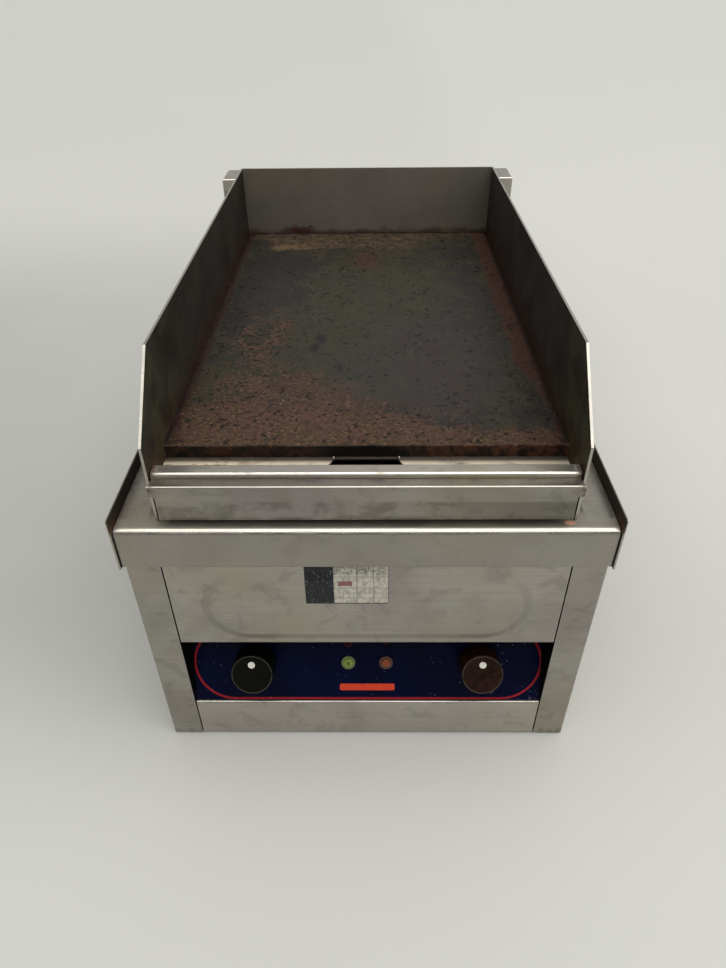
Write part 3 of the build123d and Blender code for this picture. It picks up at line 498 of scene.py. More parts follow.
# ---- griddle plate
def plate_material():
    """Bare steel plate: burnt-on charcoal and olive film, rust bands at its edges, tan flakes and pits."""
    s = Surface("griddle_plate_steel", Specular_IOR_Level=0.28)
    front, back = plate_low.y, plate_high.y
    grit = s.noise(1.6 * MM, 4.0, 0.7, shift=4.0)
    fleck = s.noise(3.6 * MM, 5.0, 0.72, shift=8.0)
    scale = s.noise(0.011, 5.0, 0.68, shift=12.0, warp=0.5)
    cloud = s.noise(0.07, 4.0, 0.55, shift=17.0, warp=0.3)
    lengthwise = s.noise(3 * MM, 3.0, 0.6, (1, 40, 1), 23.0)

    s.colour = s.tint(s.fade(cloud, 0.42, 0.58), srgb(40, 36, 35), srgb(52, 49, 37))
    mottle = s.noise(0.026, 5.0, 0.66, shift=19.0, warp=0.6)
    s.lay(s.fade(mottle, 0.51, 0.57, high=0.7), srgb(60, 55, 38))
    s.lay(s.fade(mottle, 0.46, 0.4, high=0.7), srgb(42, 34, 36))
    for x, depth, radii, ragged, size, shift, colour, share in (
        (0.01, 0.33, (0.085, 0.16), 0.9, 0.09, 27.0, srgb(57, 53, 36), 0.55),  # olive middle
        (0.055, 0.14, (0.075, 0.11), 0.8, 0.08, 31.0, srgb(58, 48, 49), 0.6),  # violet at the front
        (-0.115, 0.34, (0.045, 0.17), 0.8, 0.07, 35.0, srgb(36, 33, 32), 0.7),  # black at the left
    ):
        s.lay(s.patch((x, front + depth), radii, ragged, size, 0.5, shift), colour, share)
    s.lay(s.fade(lengthwise, 0.35, 0.7, high=0.25), srgb(56, 52, 48))
    s.lay(s.fade(grit, 0.5, 0.66, high=0.55), srgb(30, 27, 24))
    s.lay(s.fade(grit, 0.44, 0.34, high=0.4), srgb(76, 70, 60))

    green = s.times(s.patch((-0.06, front + 0.14), (0.09, 0.14), 1.0, 0.05, 0.5, 39.0), s.fade(scale, 0.4, 0.6))
    s.lay(green, srgb(49, 49, 34), 0.6)
    blot = s.times(s.patch((-0.003, front + 0.41), (0.015, 0.036), 1.2, 0.012, 0.9, 43.0), 0.7)
    s.lay(blot, srgb(68, 44, 34))

    # rust along the edges, its border torn by noise
    torn = s.times(s.minus(s.noise(0.018, 5.0, 0.66, shift=47.0), 0.5), 0.055)
    from_front = s.minus(s.y, front)
    reach = s.fade(s.x, -0.16, 0.15, 0.068, 0.022)
    in_front = s.fade(s.minus(s.plus(from_front, torn), reach), 0.012, -0.012)
    brown = s.tint(s.fade(fleck, 0.4, 0.6), srgb(54, 41, 29), srgb(92, 73, 50))
    brown = s.tint(s.fade(mottle, 0.44, 0.56, high=0.7), brown, srgb(80, 52, 42))
    s.lay(in_front, brown, 0.85)
    behind = s.minus(back, s.y)
    deep = s.times(s.fade(s.x, 0.095, 0.05), s.fade(s.x, -0.145, -0.12))
    back_reach = s.plus(0.016, s.times(deep, 0.042))
    at_back = s.fade(s.minus(s.plus(behind, torn), back_reach), 0.012, -0.012)
    straw = s.tint(s.fade(scale, 0.36, 0.62), srgb(48, 40, 30), srgb(86, 69, 51))
    s.lay(at_back, straw, 0.9)
    bright = s.patch((-0.105, back - 0.055), (0.024, 0.010), 1.8, 0.010, 0.9, 53.0)
    s.lay(bright, srgb(118, 94, 70), 0.55)
    left = s.fade(s.minus(s.plus(s.x, s.times(torn, 0.35)), plate_low.x), 0.012, 0.006)
    s.lay(left, srgb(50, 29, 22), 0.8)
    right_reach = s.fade(from_front, 0.05, 0.16, 0.004, 0.021)
    right = s.minus(plate_high.x, s.plus(s.x, s.times(torn, 0.5)))
    right = s.fade(s.minus(right, right_reach), 0.003, -0.004)
    s.lay(right, s.tint(s.fade(fleck, 0.42, 0.6), srgb(64, 36, 28), srgb(84, 52, 42)), 0.8)

    # flaking red and tan scale in the left front quarter
    redder = s.patch((-0.06, front + 0.075), (0.06, 0.035), 1.0, 0.03, 0.7, 55.0)
    s.lay(s.times(redder, s.fade(fleck, 0.3, 0.6)), srgb(84, 56, 48), 0.6)
    quarter = s.most(
        s.patch((-0.108, front + 0.185), (0.026, 0.06), 1.4, 0.03, 0.8, 57.0),
        s.patch((-0.09, front + 0.09), (0.05, 0.06), 1.1, 0.03, 0.6, 59.0),
        s.patch((-0.04, front + 0.035), (0.11, 0.04), 1.0, 0.03, 0.6, 63.0),
    )
    broken = s.times(s.fade(fleck, 0.43, 0.55), s.fade(s.noise(0.022, 4.0, 0.6, shift=61.0), 0.42, 0.56))
    s.lay(s.times(quarter, broken), srgb(86, 60, 51), 0.85)
    flaky = s.times(s.most(quarter, s.times(in_front, 0.9), s.times(at_back, 0.8)), s.fade(fleck, 0.55, 0.67))
    s.lay(flaky, srgb(114, 88, 66), 0.75)
    clustered = s.fade(s.noise(0.03, 3.0, 0.6, shift=65.0), 0.44, 0.56)
    pale = s.times(clustered, s.fade(s.noise(2.4 * MM, 4.0, 0.7, shift=67.0), 0.62, 0.67))
    s.lay(s.times(s.most(quarter, in_front), pale), srgb(148, 122, 100), 0.8)

    # burnt spots, a smear, and pits
    smear = s.most(
        s.patch((-0.052, front + 0.172), (0.0045, 0.009), 1.2, 5 * MM, 0.6, 69.0),
        s.patch((-0.046, front + 0.189), (0.004, 0.010), 1.2, 5 * MM, 0.6, 71.0),
        s.patch((-0.025, front + 0.13), (0.003, 0.008), 1.4, 4 * MM, 0.6, 77.0),
    )
    drips = s.patch((0.105, front + 0.05), (0.014, 0.03), 1.0, 0.01, 0.5, 73.0)
    drips = s.times(drips, s.fade(s.noise(4 * MM, 4.0, 0.65, shift=75.0), 0.6, 0.66))
    burnt = s.most(smear, drips)
    pits = s.fade(s.noise(5 * MM, 2.0, 0.5, shift=3.0), 0.62, 0.65)
    pits = s.times(pits, s.fade(s.noise(0.07, 2.0, shift=79.0), 0.36, 0.44))
    spots = s.fade(s.noise(0.009, 5.0, 0.7, (1, 1.5, 1), 83.0), 0.7, 0.76)
    burnt = s.most(burnt, pits, spots)
    s.lay(burnt, srgb(14, 12, 11), 0.9)
    salt = s.specks(0.5 * MM, 0.01, 9.0)
    s.lay(salt, srgb(196, 192, 180), 0.9)

    # black grease where plate meets guard, and the rusty black front face with a worn top edge
    rim = s.most(
        s.fade(s.plus(s.off_middle, s.times(torn, 0.12)), plate_high.x - 6 * MM, plate_high.x - 2 * MM),
        s.fade(s.y, back - 2.5 * MM, back - 1 * MM),
    )
    s.lay(rim, s.tint(s.fade(scale, 0.45, 0.55), srgb(18, 11, 9), srgb(50, 23, 16)), 0.85)
    face = s.fade(s.facing_y, -0.4, -0.8)
    browner = s.times(s.fade(scale, 0.4, 0.6), s.fade(s.x, -0.02, 0.12, 0.45, 1.0))
    front_face_colour = s.tint(browner, srgb(18, 13, 10), srgb(78, 46, 31))
    front_face_colour = s.tint(s.times(s.fade(fleck, 0.6, 0.68), s.fade(s.z, plate_high.z - 7 * MM, plate_high.z)), front_face_colour, TAN)
    # the front face is darkest above the drain slot
    slot = s.fade(s.unsigned(s.calc("ADD", s.x, 4 * MM)), 0.05, 0.02)
    front_face_colour = s.tint(slot, front_face_colour, srgb(8, 6, 5))
    s.lay(face, front_face_colour)
    worn = s.times(s.edges(1.2 * MM), s.fade(s.noise(6 * MM, 4.0, 0.7, (3, 1, 1), 87.0), 0.38, 0.54))
    s.lay(worn, srgb(136, 112, 92), 0.8)

    rusty = s.most(in_front, at_back, left, right, quarter)
    rough = s.plus(s.fade(cloud, 0.35, 0.65, 0.44, 0.56), s.times(rusty, 0.22), s.times(grit, 0.1))
    rough = s.plus(rough, s.times(burnt, -0.12))
    s.relief(
        (s.times(scale, s.plus(0.25, rusty)), 0.5 * MM), (s.times(fleck, s.plus(0.2, rusty)), 0.22 * MM),
        (grit, 0.1 * MM), (s.flip(pits), 0.35 * MM), (lengthwise, 0.03 * MM),
    )
    return s.finish(rough)


dress(plate_material(), "griddle_plate")


# ---- control film, label
def film_material():
    """Dark blue printed film: a red round-ended outline, plain marks over the lamps, a plain red bar, scuffs, and
    painted shade darkening its top.
    """
    s = Surface("control_film", Roughness=0.3, Specular_IOR_Level=0.07)
    arm = s.vector("SUBTRACT", s.place, tuple(slope_foot))[0]
    along = s.vector("DOT_PRODUCT", arm, tuple(up_slope))["Value"]

    def rounded_box(centre_x, centre_along, half_x, half_along, radius):
        """Distance outside a round-cornered box on the film."""
        across = s.minus(s.unsigned(s.minus(s.x, centre_x)), half_x - radius)
        upward = s.minus(s.unsigned(s.minus(along, centre_along)), half_along - radius)
        across, upward = s.calc("MAXIMUM", across, 0.0), s.calc("MAXIMUM", upward, 0.0)
        return s.minus(s.calc("SQRT", s.plus(s.times(across, across), s.times(upward, upward))), radius)

    def line(distance, half):
        return s.fade(s.unsigned(distance), half + 0.15 * MM, half - 0.15 * MM)

    worn = s.fade(s.noise(7 * MM, 5.0, 0.7, shift=3.0), 0.6, 0.7)
    cloud = s.noise(0.04, 3.0, shift=5.0)
    s.colour = s.tint(s.fade(cloud, 0.35, 0.65), srgb(1, 5, 33), srgb(2, 8, 44))
    # painted shade: the film darkens to near black towards its top, under the upper panel's overhang
    s.lay(s.fade(along, 45 * MM, 76 * MM, high=0.9), srgb(2, 2, 8))
    outline = line(rounded_box(0.5 * MM, 40.5 * MM, 169.5 * MM, 38.8 * MM, 38.7 * MM), 1.15 * MM)
    outline = s.times(outline, s.flip(s.times(worn, 0.6)))
    s.lay(outline, srgb(150, 34, 40))
    bar = s.fade(rounded_box(0.0, 14 * MM, 27 * MM, 3.6 * MM, 1.6 * MM), 0.15 * MM, -0.15 * MM)
    s.lay(s.times(bar, s.flip(s.times(worn, 0.35))), srgb(216, 72, 46))
    ring_middle = slope_foot + up_slope * 60.5 * MM - Vector((18.4 * MM, 0, 0))
    marks = s.most(
        line(s.minus(s.off_axis(ring_middle, lean), 3.0 * MM), 0.35 * MM),
        s.times(
            line(s.minus(s.x, 18.4 * MM), 2.6 * MM),
            line(s.calc("PINGPONG", s.minus(along, 57.5 * MM), 1.5 * MM), 0.3 * MM),
            s.band(along, 58 * MM, 63.5 * MM, 0.2 * MM),
        ),
    )
    s.lay(marks, srgb(120, 36, 34), 0.75)
    dust = s.times(s.specks(0.8 * MM, 0.05, 2.0), s.fade(s.x, 0.02, 0.13, 0.35, 1.0))
    s.lay(dust, srgb(170, 176, 190))
    corner = s.times(s.fade(s.x, 0.145, 0.165), s.fade(along, 22 * MM, 4 * MM))
    chips = s.times(corner, s.fade(s.noise(3 * MM, 4.0, 0.7, shift=9.0), 0.62, 0.7))
    s.lay(chips, srgb(190, 190, 186))
    rough = s.plus(0.26, s.fade(cloud, 0.3, 0.7, 0.0, 0.12), s.times(worn, 0.12))
    s.relief((outline, 0.03 * MM), (s.noise(0.03, 2.0, shift=14.0), 0.2 * MM), (worn, 0.01 * MM))
    return s.finish(rough)


def label_material():
    """A worn rating label: black block at the left, ruled form at the right, nothing to read."""
    s = Surface("worn_label", Roughness=0.5, Specular_IOR_Level=0.35)
    size = label_high - label_low
    across = s.calc("DIVIDE", s.minus(s.x, label_low.x), size.x)
    upward = s.calc("DIVIDE", s.minus(s.z, label_low.z), size.z)
    scuff = s.noise(4 * MM, 5.0, 0.75, (1, 1, 2), 3.0)
    paper = s.tint(s.fade(scuff, 0.42, 0.62), srgb(208, 204, 190), srgb(166, 162, 148))

    def rule(value, at, half):
        return s.band(value, at - half, at + half, 0.006)

    right_part = s.fade(across, 0.34, 0.35)
    level_rules = [rule(upward, at, 0.002) for at in (0.16, 0.3, 0.44, 0.72)]
    upright_rules = [rule(across, at, 0.001) for at in (0.62, 0.82)]
    ink = s.times(s.most(*level_rules, *upright_rules), right_part, s.fade(scuff, 0.62, 0.5))
    paper = s.tint(s.times(ink, 0.75), paper, srgb(52, 52, 54))
    block = s.times(s.band(across, 0.40, 0.56, 0.01), s.band(upward, 0.5, 0.62, 0.01))
    paper = s.tint(s.times(block, 0.8), paper, srgb(120, 40, 40))
    heading = s.times(s.fade(upward, 0.76, 0.78), s.fade(s.noise(2.4 * MM, 4.0, 0.7, shift=6.0), 0.46, 0.56))
    heading = s.times(right_part, heading)
    paper = s.tint(s.times(heading, 0.55), paper, srgb(70, 72, 70))
    black = s.tint(s.fade(scuff, 0.56, 0.66), srgb(22, 24, 30), srgb(120, 122, 126))
    s.colour = s.tint(right_part, black, paper)
    top_and_foot = s.most(s.fade(upward, 0.03, 0.015), s.fade(upward, 0.975, 0.99))
    sides = s.most(s.fade(across, 0.99, 0.997), s.fade(across, 0.012, 0.006))
    s.lay(s.most(top_and_foot, sides), srgb(48, 44, 38))
    s.relief((scuff, 0.05 * MM))
    return s.finish()


dress(film_material(), "panel_overlay")
dress(label_material(), "rating_label")


# ---- knobs and lamps
def knob_material(name, centre, light, dark):
    """Moulded phenolic with greasy fingermarks, dust in the grip, and a pale rim round the face, painted as the
    chamfer's highlight.
    """
    s = Surface(name, Specular_IOR_Level=0.1)
    grime = s.noise(6 * MM, 5.0, 0.65, shift=3.0)
    grit = s.noise(0.7 * MM, 3.0, 0.7, shift=6.0)
    s.colour = s.tint(s.fade(grime, 0.36, 0.64), dark, light)
    s.lay(s.fade(grit, 0.6, 0.75, high=0.35), scaled(light, 2.2))
    away = s.off_axis(centre, lean)
    # painted highlight: a pale ring round the knob's face stands for light caught on its chamfer
    rim = s.times(s.band(away, 18.5 * MM, 19.2 * MM, 0.35 * MM), s.fade(grime, 0.3, 0.5))
    s.lay(rim, srgb(96, 92, 80), 0.36)
    worn = s.times(s.edges(0.7 * MM), 0.3)
    s.lay(worn, srgb(96, 90, 80))
    s.relief((grit, 0.03 * MM), (grime, 0.08 * MM))
    return s.finish(s.plus(0.34, s.times(grime, 0.25)))


def dot_material():
    s = Surface("white_inlay", Specular_IOR_Level=0.4)
    dirt = s.noise(1.3 * MM, 4.0, 0.65, shift=2.0)
    s.colour = s.tint(s.fade(dirt, 0.45, 0.7), srgb(236, 234, 226), srgb(196, 190, 174))
    s.relief((dirt, 0.02 * MM))
    return s.finish(s.plus(0.35, s.times(dirt, 0.2)))


def lens_material(name, node, rim, heart):
    """A ribbed translucent lamp lens: pale at its rim, deeper and darker at its heart."""
    s = Surface(name, Specular_IOR_Level=0.6, IOR=1.49, Transmission_Weight=0.15, Subsurface_Weight=0.0)
    low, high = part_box(node)
    away = s.off_axis((low + high) / 2, lean)
    ribs = s.calc("PINGPONG", away, 0.55 * MM)
    mottle = s.noise(1.1 * MM, 3.0, 0.6, shift=4.0)
    s.colour = s.tint(s.fade(s.plus(away, s.times(mottle, 1.4 * MM)), 1.9 * MM, 4.2 * MM), heart, rim)
    s.lay(s.fade(ribs, 0.1 * MM, 0.5 * MM, high=0.25), scaled(rim, 1.4))
    s.relief((s.times(ribs, 1 / (0.55 * MM)), 0.12 * MM), (mottle, 0.1 * MM))
    return s.finish(s.plus(0.16, s.times(mottle, 0.15)))


def bezel_material():
    s = Surface("lamp_ring", Specular_IOR_Level=0.5)
    dirt = s.noise(1.2 * MM, 4.0, 0.65, shift=2.0)
    warm = s.fade(s.x, -4 * MM, 4 * MM)
    s.colour = s.tint(warm, srgb(108, 116, 74), srgb(78, 52, 44))
    s.lay(s.fade(dirt, 0.5, 0.7, high=0.6), srgb(28, 26, 22))
    s.relief((dirt, 0.04 * MM))
    return s.finish(s.plus(0.25, s.times(dirt, 0.2)))


for side, light, dark in (
    ("left", srgb(9, 11, 4), srgb(4, 5, 2)),
    ("right", srgb(46, 24, 18), srgb(24, 12, 9)),
):
    pivot = Vector(control_joint[side + "_control"]["pos_m"])
    dress(knob_material(side + "_knob_plastic", pivot, light, dark), side + "_knob")
dress(dot_material(), "left_knob_dot", "right_knob_dot")
dress(lens_material("green_lens", "green_lamp_lens", srgb(150, 168, 70), srgb(52, 88, 6)), "green_lamp_lens")
dress(lens_material("amber_lens", "amber_lamp_lens", srgb(140, 74, 30), srgb(150, 60, 8)), "amber_lamp_lens")
dress(bezel_material(), "lamp_bezels")


# ---- inner and hidden pieces
def zinc_material(name, tone, roughness, dust):
    """Zinc-coated sheet: frosty crystal spangle, dust, and white bloom at its edges."""
    s = Surface(name, Metallic=1.0)
    crystal = s.add("ShaderNodeSeparateColor", (s.cells(9 * MM, 1.0, output="Color"),)).outputs[0]
    grit = s.noise(0.02, 5.0, 0.65, shift=4.0)
    s.colour = s.tint(crystal, scaled(tone, 0.85), scaled(tone, 1.1))
    s.lay(s.fade(grit, 0.48, 0.68, high=dust), srgb(112, 98, 78))
    s.lay(s.edges(1 * MM), scaled(tone, 1.3), 0.5)
    s.relief((crystal, 0.02 * MM), (grit, 0.1 * MM))
    return s.finish(s.plus(roughness, s.times(crystal, 0.1), s.times(grit, 0.12)))


def plain_metal(name, tone, roughness, tarnish, size=0.006):
    """Turned or drawn metal with tarnish in patches and handling marks."""
    s = Surface(name, Metallic=1.0)
    patchy = s.noise(size, 5.0, 0.65, shift=4.0)
    fine = s.noise(0.5 * MM, 2.0, 0.6, (6, 1, 1), 8.0)
    s.colour = s.tint(s.fade(patchy, 0.42, 0.66), tone, tarnish)
    s.lay(s.edges(0.4 * MM), scaled(tone, 1.25), 0.5)
    s.relief((fine, 0.01 * MM), (patchy, 0.04 * MM))
    return s.finish(s.plus(roughness, s.times(patchy, 0.2)))


def moulded(name, tone, roughness, size=0.004, dust=(120, 112, 98), sheen=0.4):
    """Plastic, rubber or ceramic with a fine moulded texture and settled dust."""
    s = Surface(name, Specular_IOR_Level=sheen)
    texture = s.noise(0.6 * MM, 2.0, 0.6, shift=2.0)
    patchy = s.noise(size, 5.0, 0.6, shift=5.0)
    s.colour = s.tint(s.fade(patchy, 0.4, 0.65), tone, scaled(tone, 0.8))
    level = s.fade(s.facing_z, 0.3, 0.9)
    s.lay(s.times(level, s.fade(patchy, 0.35, 0.6)), srgb(*dust), 0.2)
    s.relief((texture, 0.03 * MM), (patchy, 0.05 * MM))
    return s.finish(s.plus(roughness, s.times(patchy, 0.15)))


def wool_material():
    """Pressed ceramic wool: matted short fibres."""
    s = Surface("ceramic_wool", Roughness=0.95, Specular_IOR_Level=0.2, Sheen_Weight=0.3)
    fibres = s.most(s.noise(0.5 * MM, 3.0, 0.7, (12, 1, 1), 3.0), s.noise(0.5 * MM, 3.0, 0.7, (1, 12, 1), 6.0))
    matted = s.noise(0.012, 4.0, 0.6, shift=9.0)
    s.colour = s.tint(s.fade(fibres, 0.45, 0.7), srgb(214, 208, 196), srgb(238, 236, 228))
    s.lay(s.fade(matted, 0.55, 0.72, high=0.5), srgb(178, 160, 132))
    s.relief((fibres, 0.25 * MM), (matted, 0.5 * MM))
    return s.finish()


dress(
    zinc_material("zinc_sheet", (0.52, 0.53, 0.54, 1.0), 0.34, 0.35),
    "rear_panel", "base_plate", "front_crossrail", "panel_brackets", "plate_rails", "rear_plate_bracket",
    "drawer_runners", "control_panel",
)
dress(zinc_material("heat_shield_sheet", (0.42, 0.38, 0.33, 1.0), 0.4, 0.6), "heat_shield")
dress(zinc_material("tray_sheet", (0.34, 0.31, 0.27, 1.0), 0.42, 0.9), "drawer_tray")
dress(
    plain_metal("plated_steel", (0.62, 0.6, 0.55, 1.0), 0.26, (0.4, 0.34, 0.27, 1.0)),
    "panel_screws", "control_screws", "clamp_nuts", "plate_studs", "element_clamps", "earth_stud", "earth_nuts",
    "terminal_screws", "terminal_pins",
)
dress(
    plain_metal("element_sheath", (0.24, 0.22, 0.2, 1.0), 0.5, (0.12, 0.1, 0.09, 1.0), 0.012),
    "left_heating_element", "right_heating_element",
)
dress(
    plain_metal("drawn_copper", (0.72, 0.42, 0.28, 1.0), 0.3, (0.3, 0.16, 0.1, 1.0)),
    "thermostat_bulb", "limiter_bulb",
)
dress(plain_metal("shaft_steel", (0.6, 0.58, 0.54, 1.0), 0.3, (0.42, 0.38, 0.32, 1.0)), "left_shaft", "right_shaft")
dress(moulded("foot_rubber", srgb(34, 33, 32), 0.75), "foot_pads")
dress(
    moulded("black_casing", srgb(40, 40, 40), 0.5),
    "selector_switch", "thermostat", "safety_limiter", "lamp_bodies", "lamp_nuts", "cable_gland", "gland_locknut",
)
dress(moulded("limiter_red_plastic", srgb(170, 36, 28), 0.4), "limiter_button")
dress(moulded("unglazed_ceramic", srgb(226, 220, 204), 0.8, 0.008), "terminal_block", "terminal_beads")
dress(moulded("wire_sleeve", srgb(206, 200, 186), 0.45, 0.01), "wiring")
dress(wool_material(), "insulation")


# ---- small worn details, as geometry
def new_piece(name, mesh_builder, material, body="griddle", smooth=True):
    """Makes a piece from bmesh code, and says which body, slot and material are its."""
    mesh = bpy.data.meshes.new(name)
    work = bmesh.new()
    mesh_builder(work)
    bmesh.ops.recalc_face_normals(work, faces=work.faces)
    for face in work.faces:
        face.smooth = smooth
    work.to_mesh(mesh)
    work.free()
    mesh.materials.append(material)
    piece = bpy.data.objects.new(name, mesh)
    scene.collection.objects.link(piece)
    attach(piece, body)
    return piece


def closed_strip(work, rings):
    """Joins rings of points, in order, into one closed skin with capped ends."""
    loops = [[work.verts.new(point) for point in ring] for ring in rings]
    for one, two in zip(loops, loops[1:]):
        for a in range(len(one)):
            b = (a + 1) % len(one)
            work.faces.new((one[a], one[b], two[b], two[a]))
    work.faces.new(list(reversed(loops[0])))
    work.faces.new(loops[-1])


def crust_material():
    s = Surface("burnt_crust", Specular_IOR_Level=0.1)
    grit = s.noise(1.5 * MM, 4.0, 0.7, shift=3.0)
    patchy = s.noise(0.012, 4.0, 0.65, shift=5.0)
    s.colour = s.tint(s.fade(grit, 0.4, 0.65), srgb(14, 9, 7), srgb(38, 20, 14))
    s.lay(s.fade(patchy, 0.52, 0.66, high=0.7), srgb(66, 34, 24))
    s.relief((grit, 0.15 * MM))
    return s.finish(s.plus(0.45, s.times(grit, 0.3)))


def flake_material():
    s = Surface("rust_flake", Specular_IOR_Level=0.3, Roughness=0.85)
    grit = s.noise(1.2 * MM, 4.0, 0.7, shift=3.0)
    kind = s.noise(0.01, 2.0, 0.6, shift=8.0)
    s.colour = s.tint(s.fade(kind, 0.4, 0.6), srgb(62, 43, 34), srgb(98, 76, 56))
    s.lay(s.fade(grit, 0.5, 0.7, high=0.7), srgb(40, 28, 23))
    s.relief((grit, 0.1 * MM))
    return s.finish()


crust = crust_material()
flake = flake_material()


def grease_bead(work):
    """A lumpy fillet of burnt fat in the corner between the plate and the three guards."""
    inset = 0.25 * MM
    left, right = plate_low.x - inset, plate_high.x + inset
    back, top = plate_high.y + inset, plate_high.z
    corners = [(left, plate_low.y + 2 * MM), (left, back), (right, back), (right, plate_low.y + 2 * MM)]
    inward = [(1, 0), (0.7, -0.7), (-0.7, -0.7), (-1, 0)]
    rings = []
    for index, (start, end) in enumerate(zip(corners, corners[1:])):
        run = Vector(end) - Vector(start)
        count = int(run.length / (2.5 * MM))
        for step in range(count + (index == 2)):
            share = step / count
            spot = Vector(start) + run * share
            side = Vector(((1, 0), (0, -1), (-1, 0))[index])
            if step == 0 and index:
                side = Vector(inward[index]) * 1.4
            ragged = field.noise(Vector((spot.x * 90, spot.y * 90, 1.5)))
            wide = (1.5 + 1.1 * ragged) * MM
            tall = (0.9 + 0.7 * field.noise(Vector((spot.x * 150, spot.y * 150, 7.5)))) * MM
            foot, inner = spot, spot + side * wide
            middle = spot + side * wide * 0.4
            rings.append([
                (foot.x, foot.y, top - 0.4 * MM), (foot.x, foot.y, top + tall),
                (middle.x, middle.y, top + tall * 0.45), (inner.x, inner.y, top - 0.02 * MM),
                (inner.x, inner.y, top - 0.4 * MM),
            ])
    closed_strip(work, rings)


def flakes(work):
    """Loose scale lying on the plate, thickest in the left front quarter and along the front."""
    draw = random.Random(11)
    places = (
        (-0.108, 0.175, 0.022, 0.045, 70), (-0.09, 0.085, 0.035, 0.035, 80), (-0.05, 0.03, 0.07, 0.02, 120),
        (0.06, 0.014, 0.06, 0.009, 60), (-0.05, 0.49, 0.06, 0.014, 60), (0.0, 0.25, 0.08, 0.14, 24),
    )
    for x, depth, spread_x, spread_y, count in places:
        for _ in range(count):
            centre = Vector((x + draw.gauss(0, spread_x), plate_low.y + depth + draw.gauss(0, spread_y)))
            size = draw.uniform(0.5, 1.7) * MM
            sides, turn = draw.randint(5, 8), draw.uniform(0, math.tau)
            shape = [draw.uniform(0.55, 1.1) for _ in range(sides)]
            height = draw.uniform(0.12, 0.38) * MM
            reach = size * 1.2
            in_x = plate_low.x + 3 * MM < centre.x - reach and centre.x + reach < plate_high.x - 3 * MM
            in_y = plate_low.y + 1.5 * MM < centre.y - reach and centre.y + reach <= plate_high.y - 3 * MM
            if not (in_x and in_y):
                continue
            rings = []
            for grow, level in ((1.0, -0.15 * MM), (1.0, 0.02 * MM), (0.62, height)):
                rings.append([
                    (
                        centre.x + math.cos(turn + math.tau * k / sides) * size * shape[k] * grow,
                        centre.y + math.sin(turn + math.tau * k / sides) * size * shape[k] * grow,
                        plate_high.z + level,
                    )
                    for k in range(sides)
                ])
            closed_strip(work, rings)


def weld_bead(x_sign):
    """A rippled weld up the corner between a side guard and the rear guard."""

    def build(work):
        corner_x, corner_y = x_sign * (plate_high.x + 1.0 * MM), plate_high.y + 1.0 * MM
        low, high = plate_high.z + 1.5 * MM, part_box("rear_guard")[1].z - 1.5 * MM
        count = int((high - low) / (0.9 * MM))
        rings = []
        for step in range(count + 1):
            z = low + (high - low) * step / count
            wide = (2.0 + 0.28 * math.sin(step * 2.1) + 0.35 * field.noise(Vector((z * 120, x_sign, 2.0)))) * MM
            if step in (0, count):
                wide *= 0.6
            ring = [(corner_x, corner_y, z)]
            for k in range(6):
                angle = math.pi / 2 * k / 5
                ring.append((
                    corner_x - x_sign * math.cos(angle) * wide, corner_y - math.sin(angle) * wide,
                    z - 0.5 * MM * math.sin(math.pi * k / 5),
                ))
            rings.append(ring)
        closed_strip(work, rings)

    return build


def slot_curl(x_sign):
    """A torn tab of sheet curling up at a back corner of the drain slot."""

    def build(work):
        start = Vector((x_sign * 26 * MM + 0.5 * MM, gutter_low.y + 42.6 * MM, 317.1 * MM))
        lean_out = Vector((x_sign * 0.45, 0.75, 0)).normalized()
        across = Vector((0.85, -x_sign * 0.5, 0)).normalized()
        rings = []
        for step in range(7):
            angle = math.radians(14 * step)
            out = math.sin(angle) * 1.7 * MM
            rise = (1 - math.cos(angle)) * 1.5 * MM
            half = (1.4 - 0.14 * step) * MM
            thick = Vector((0, 0, 1)) * 0.5 * MM * math.cos(angle) - lean_out * 0.5 * MM * math.sin(angle)
            middle = start + lean_out * out + Vector((0, 0, rise))
            rings.append([
                tuple(middle - across * half), tuple(middle + across * half),
                tuple(middle + across * half + thick), tuple(middle - across * half + thick),
            ])
        closed_strip(work, rings)

    return build


new_piece("grease_bead", grease_bead, crust)
new_piece("plate_flakes", flakes, flake, smooth=False)
weld_steel = steel("weld_steel", (0.3, 0.27, 0.23, 1.0), 0.4, 0.6)
curl_steel = steel("curl_steel", scaled(STEEL, 0.8), 0.4, 0.2)
for side, x_sign in (("left", -1), ("right", 1)):
    new_piece(side + "_guard_weld", weld_bead(x_sign), weld_steel)
    new_piece(side + "_slot_curl", slot_curl(x_sign), curl_steel)


# ---- floor and light
def floor_material():
    """Pale painted floor: faint clouds, a few scuffs and specks, and painted light brightening it to the front, the
    back and the right.
    """
    s = Surface("pale_floor", Specular_IOR_Level=0.3)
    cloud = s.noise(0.6, 4.0, 0.5, shift=2.0)
    fine = s.noise(0.012, 4.0, 0.6, shift=4.0)
    s.colour = s.tint(s.fade(cloud, 0.35, 0.65), (0.485, 0.487, 0.465, 1.0), (0.515, 0.517, 0.495, 1.0))
    # painted light: the floor is made paler towards the front, the back and the right, as the light falls
    s.lay(s.fade(s.y, -0.1, -0.5, high=0.9), (0.68, 0.682, 0.66, 1.0))
    s.lay(s.fade(s.y, 0.5, 1.6, high=0.9), (0.68, 0.682, 0.655, 1.0))
    s.lay(s.fade(s.x, 0.12, 0.6, high=0.8), (0.7, 0.702, 0.675, 1.0))
    s.lay(s.fade(fine, 0.62, 0.76, high=0.12), (0.7, 0.7, 0.68, 1.0))
    s.relief((fine, 0.05 * MM))
    return s.finish(s.plus(0.5, s.times(cloud, 0.15)))


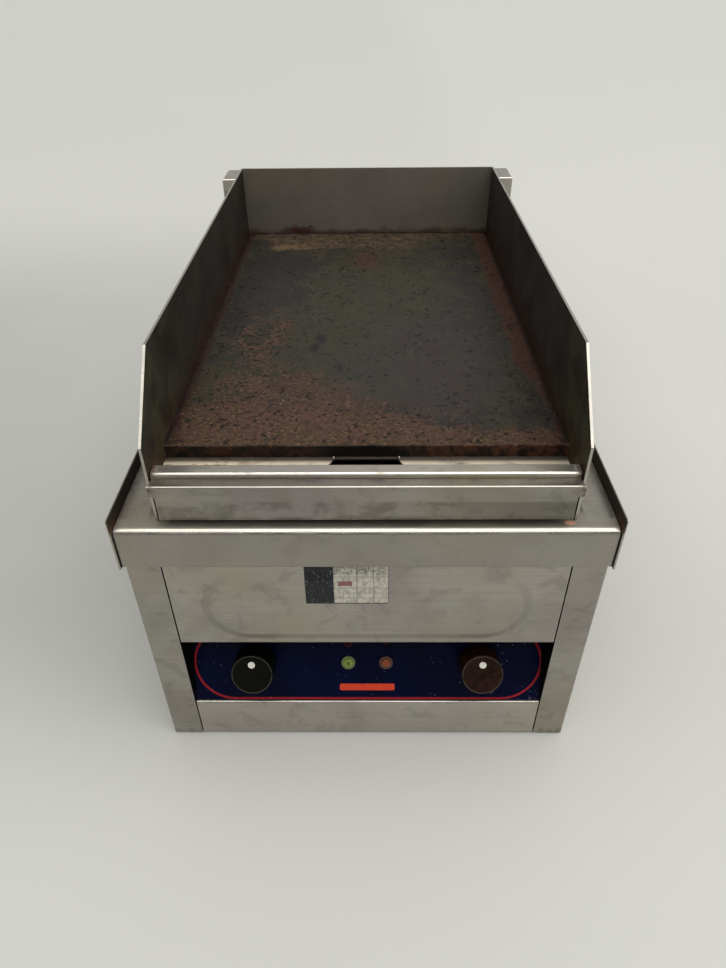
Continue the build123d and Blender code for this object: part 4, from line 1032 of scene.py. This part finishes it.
def lay_floor():
    mesh = bpy.data.meshes.new("floor")
    work = bmesh.new()
    bmesh.ops.create_grid(work, x_segments=1, y_segments=1, size=14.0)
    work.to_mesh(mesh)
    work.free()
    mesh.materials.append(floor_material())
    floor = bpy.data.objects.new("floor", mesh)
    scene.collection.objects.link(floor)


# How the room's brightness changes with direction, for x, y and z: from, to, brightness at each.
ROOM_LIGHT = ((-0.8, 0.8, 0.8, 1.2), (-0.75, 0.2, 0.2, 0.62), (0.1, 0.9, 1.0, 0.85))


def set_lights():
    """A wide soft overhead light, a weak broad lamp at the right, and a pale room that is dimmer in front."""
    sky = bpy.data.lights.new("ceiling_light", "SUN")
    sky.energy, sky.angle, sky.color = 1.8, math.radians(66), (1.0, 0.985, 0.95)
    side = bpy.data.lights.new("side_lamp", "AREA")
    side.shape, side.size, side.size_y = "RECTANGLE", 2.2, 1.6
    side.energy, side.color = 11.0, (1.0, 0.99, 0.96)
    for lamp, place in ((sky, (0.25, -0.75, 2.2)), (side, (2.6, -0.8, 1.9))):
        holder = bpy.data.objects.new(lamp.name, lamp)
        turn = (-Vector(place)).to_track_quat("-Z", "Y").to_matrix().to_4x4()
        holder.matrix_world = Matrix.Translation(place) @ turn
        scene.collection.objects.link(holder)
    world = bpy.data.worlds.new("room")
    world.use_nodes = True
    room, link = world.node_tree.nodes, world.node_tree.links.new
    split = room.new("ShaderNodeSeparateXYZ")
    link(room.new("ShaderNodeTexCoord").outputs["Generated"], split.inputs[0])
    strength = None
    for axis, (start, end, low, high) in enumerate(ROOM_LIGHT):
        ramp = room.new("ShaderNodeMapRange")
        ramp.interpolation_type = "SMOOTHSTEP"
        for index, value in enumerate((start, end, low, high)):
            ramp.inputs[index + 1].default_value = value
        link(split.outputs[axis], ramp.inputs[0])
        if strength:
            both = room.new("ShaderNodeMath")
            both.operation = "MULTIPLY"
            link(strength, both.inputs[0])
            link(ramp.outputs[0], both.inputs[1])
            strength = both.outputs[0]
        else:
            strength = ramp.outputs[0]
    link(strength, room["Background"].inputs["Strength"])
    room["Background"].inputs["Color"].default_value = (1.0, 1.0, 0.97, 1.0)
    scene.world = world


lay_floor()
set_lights()
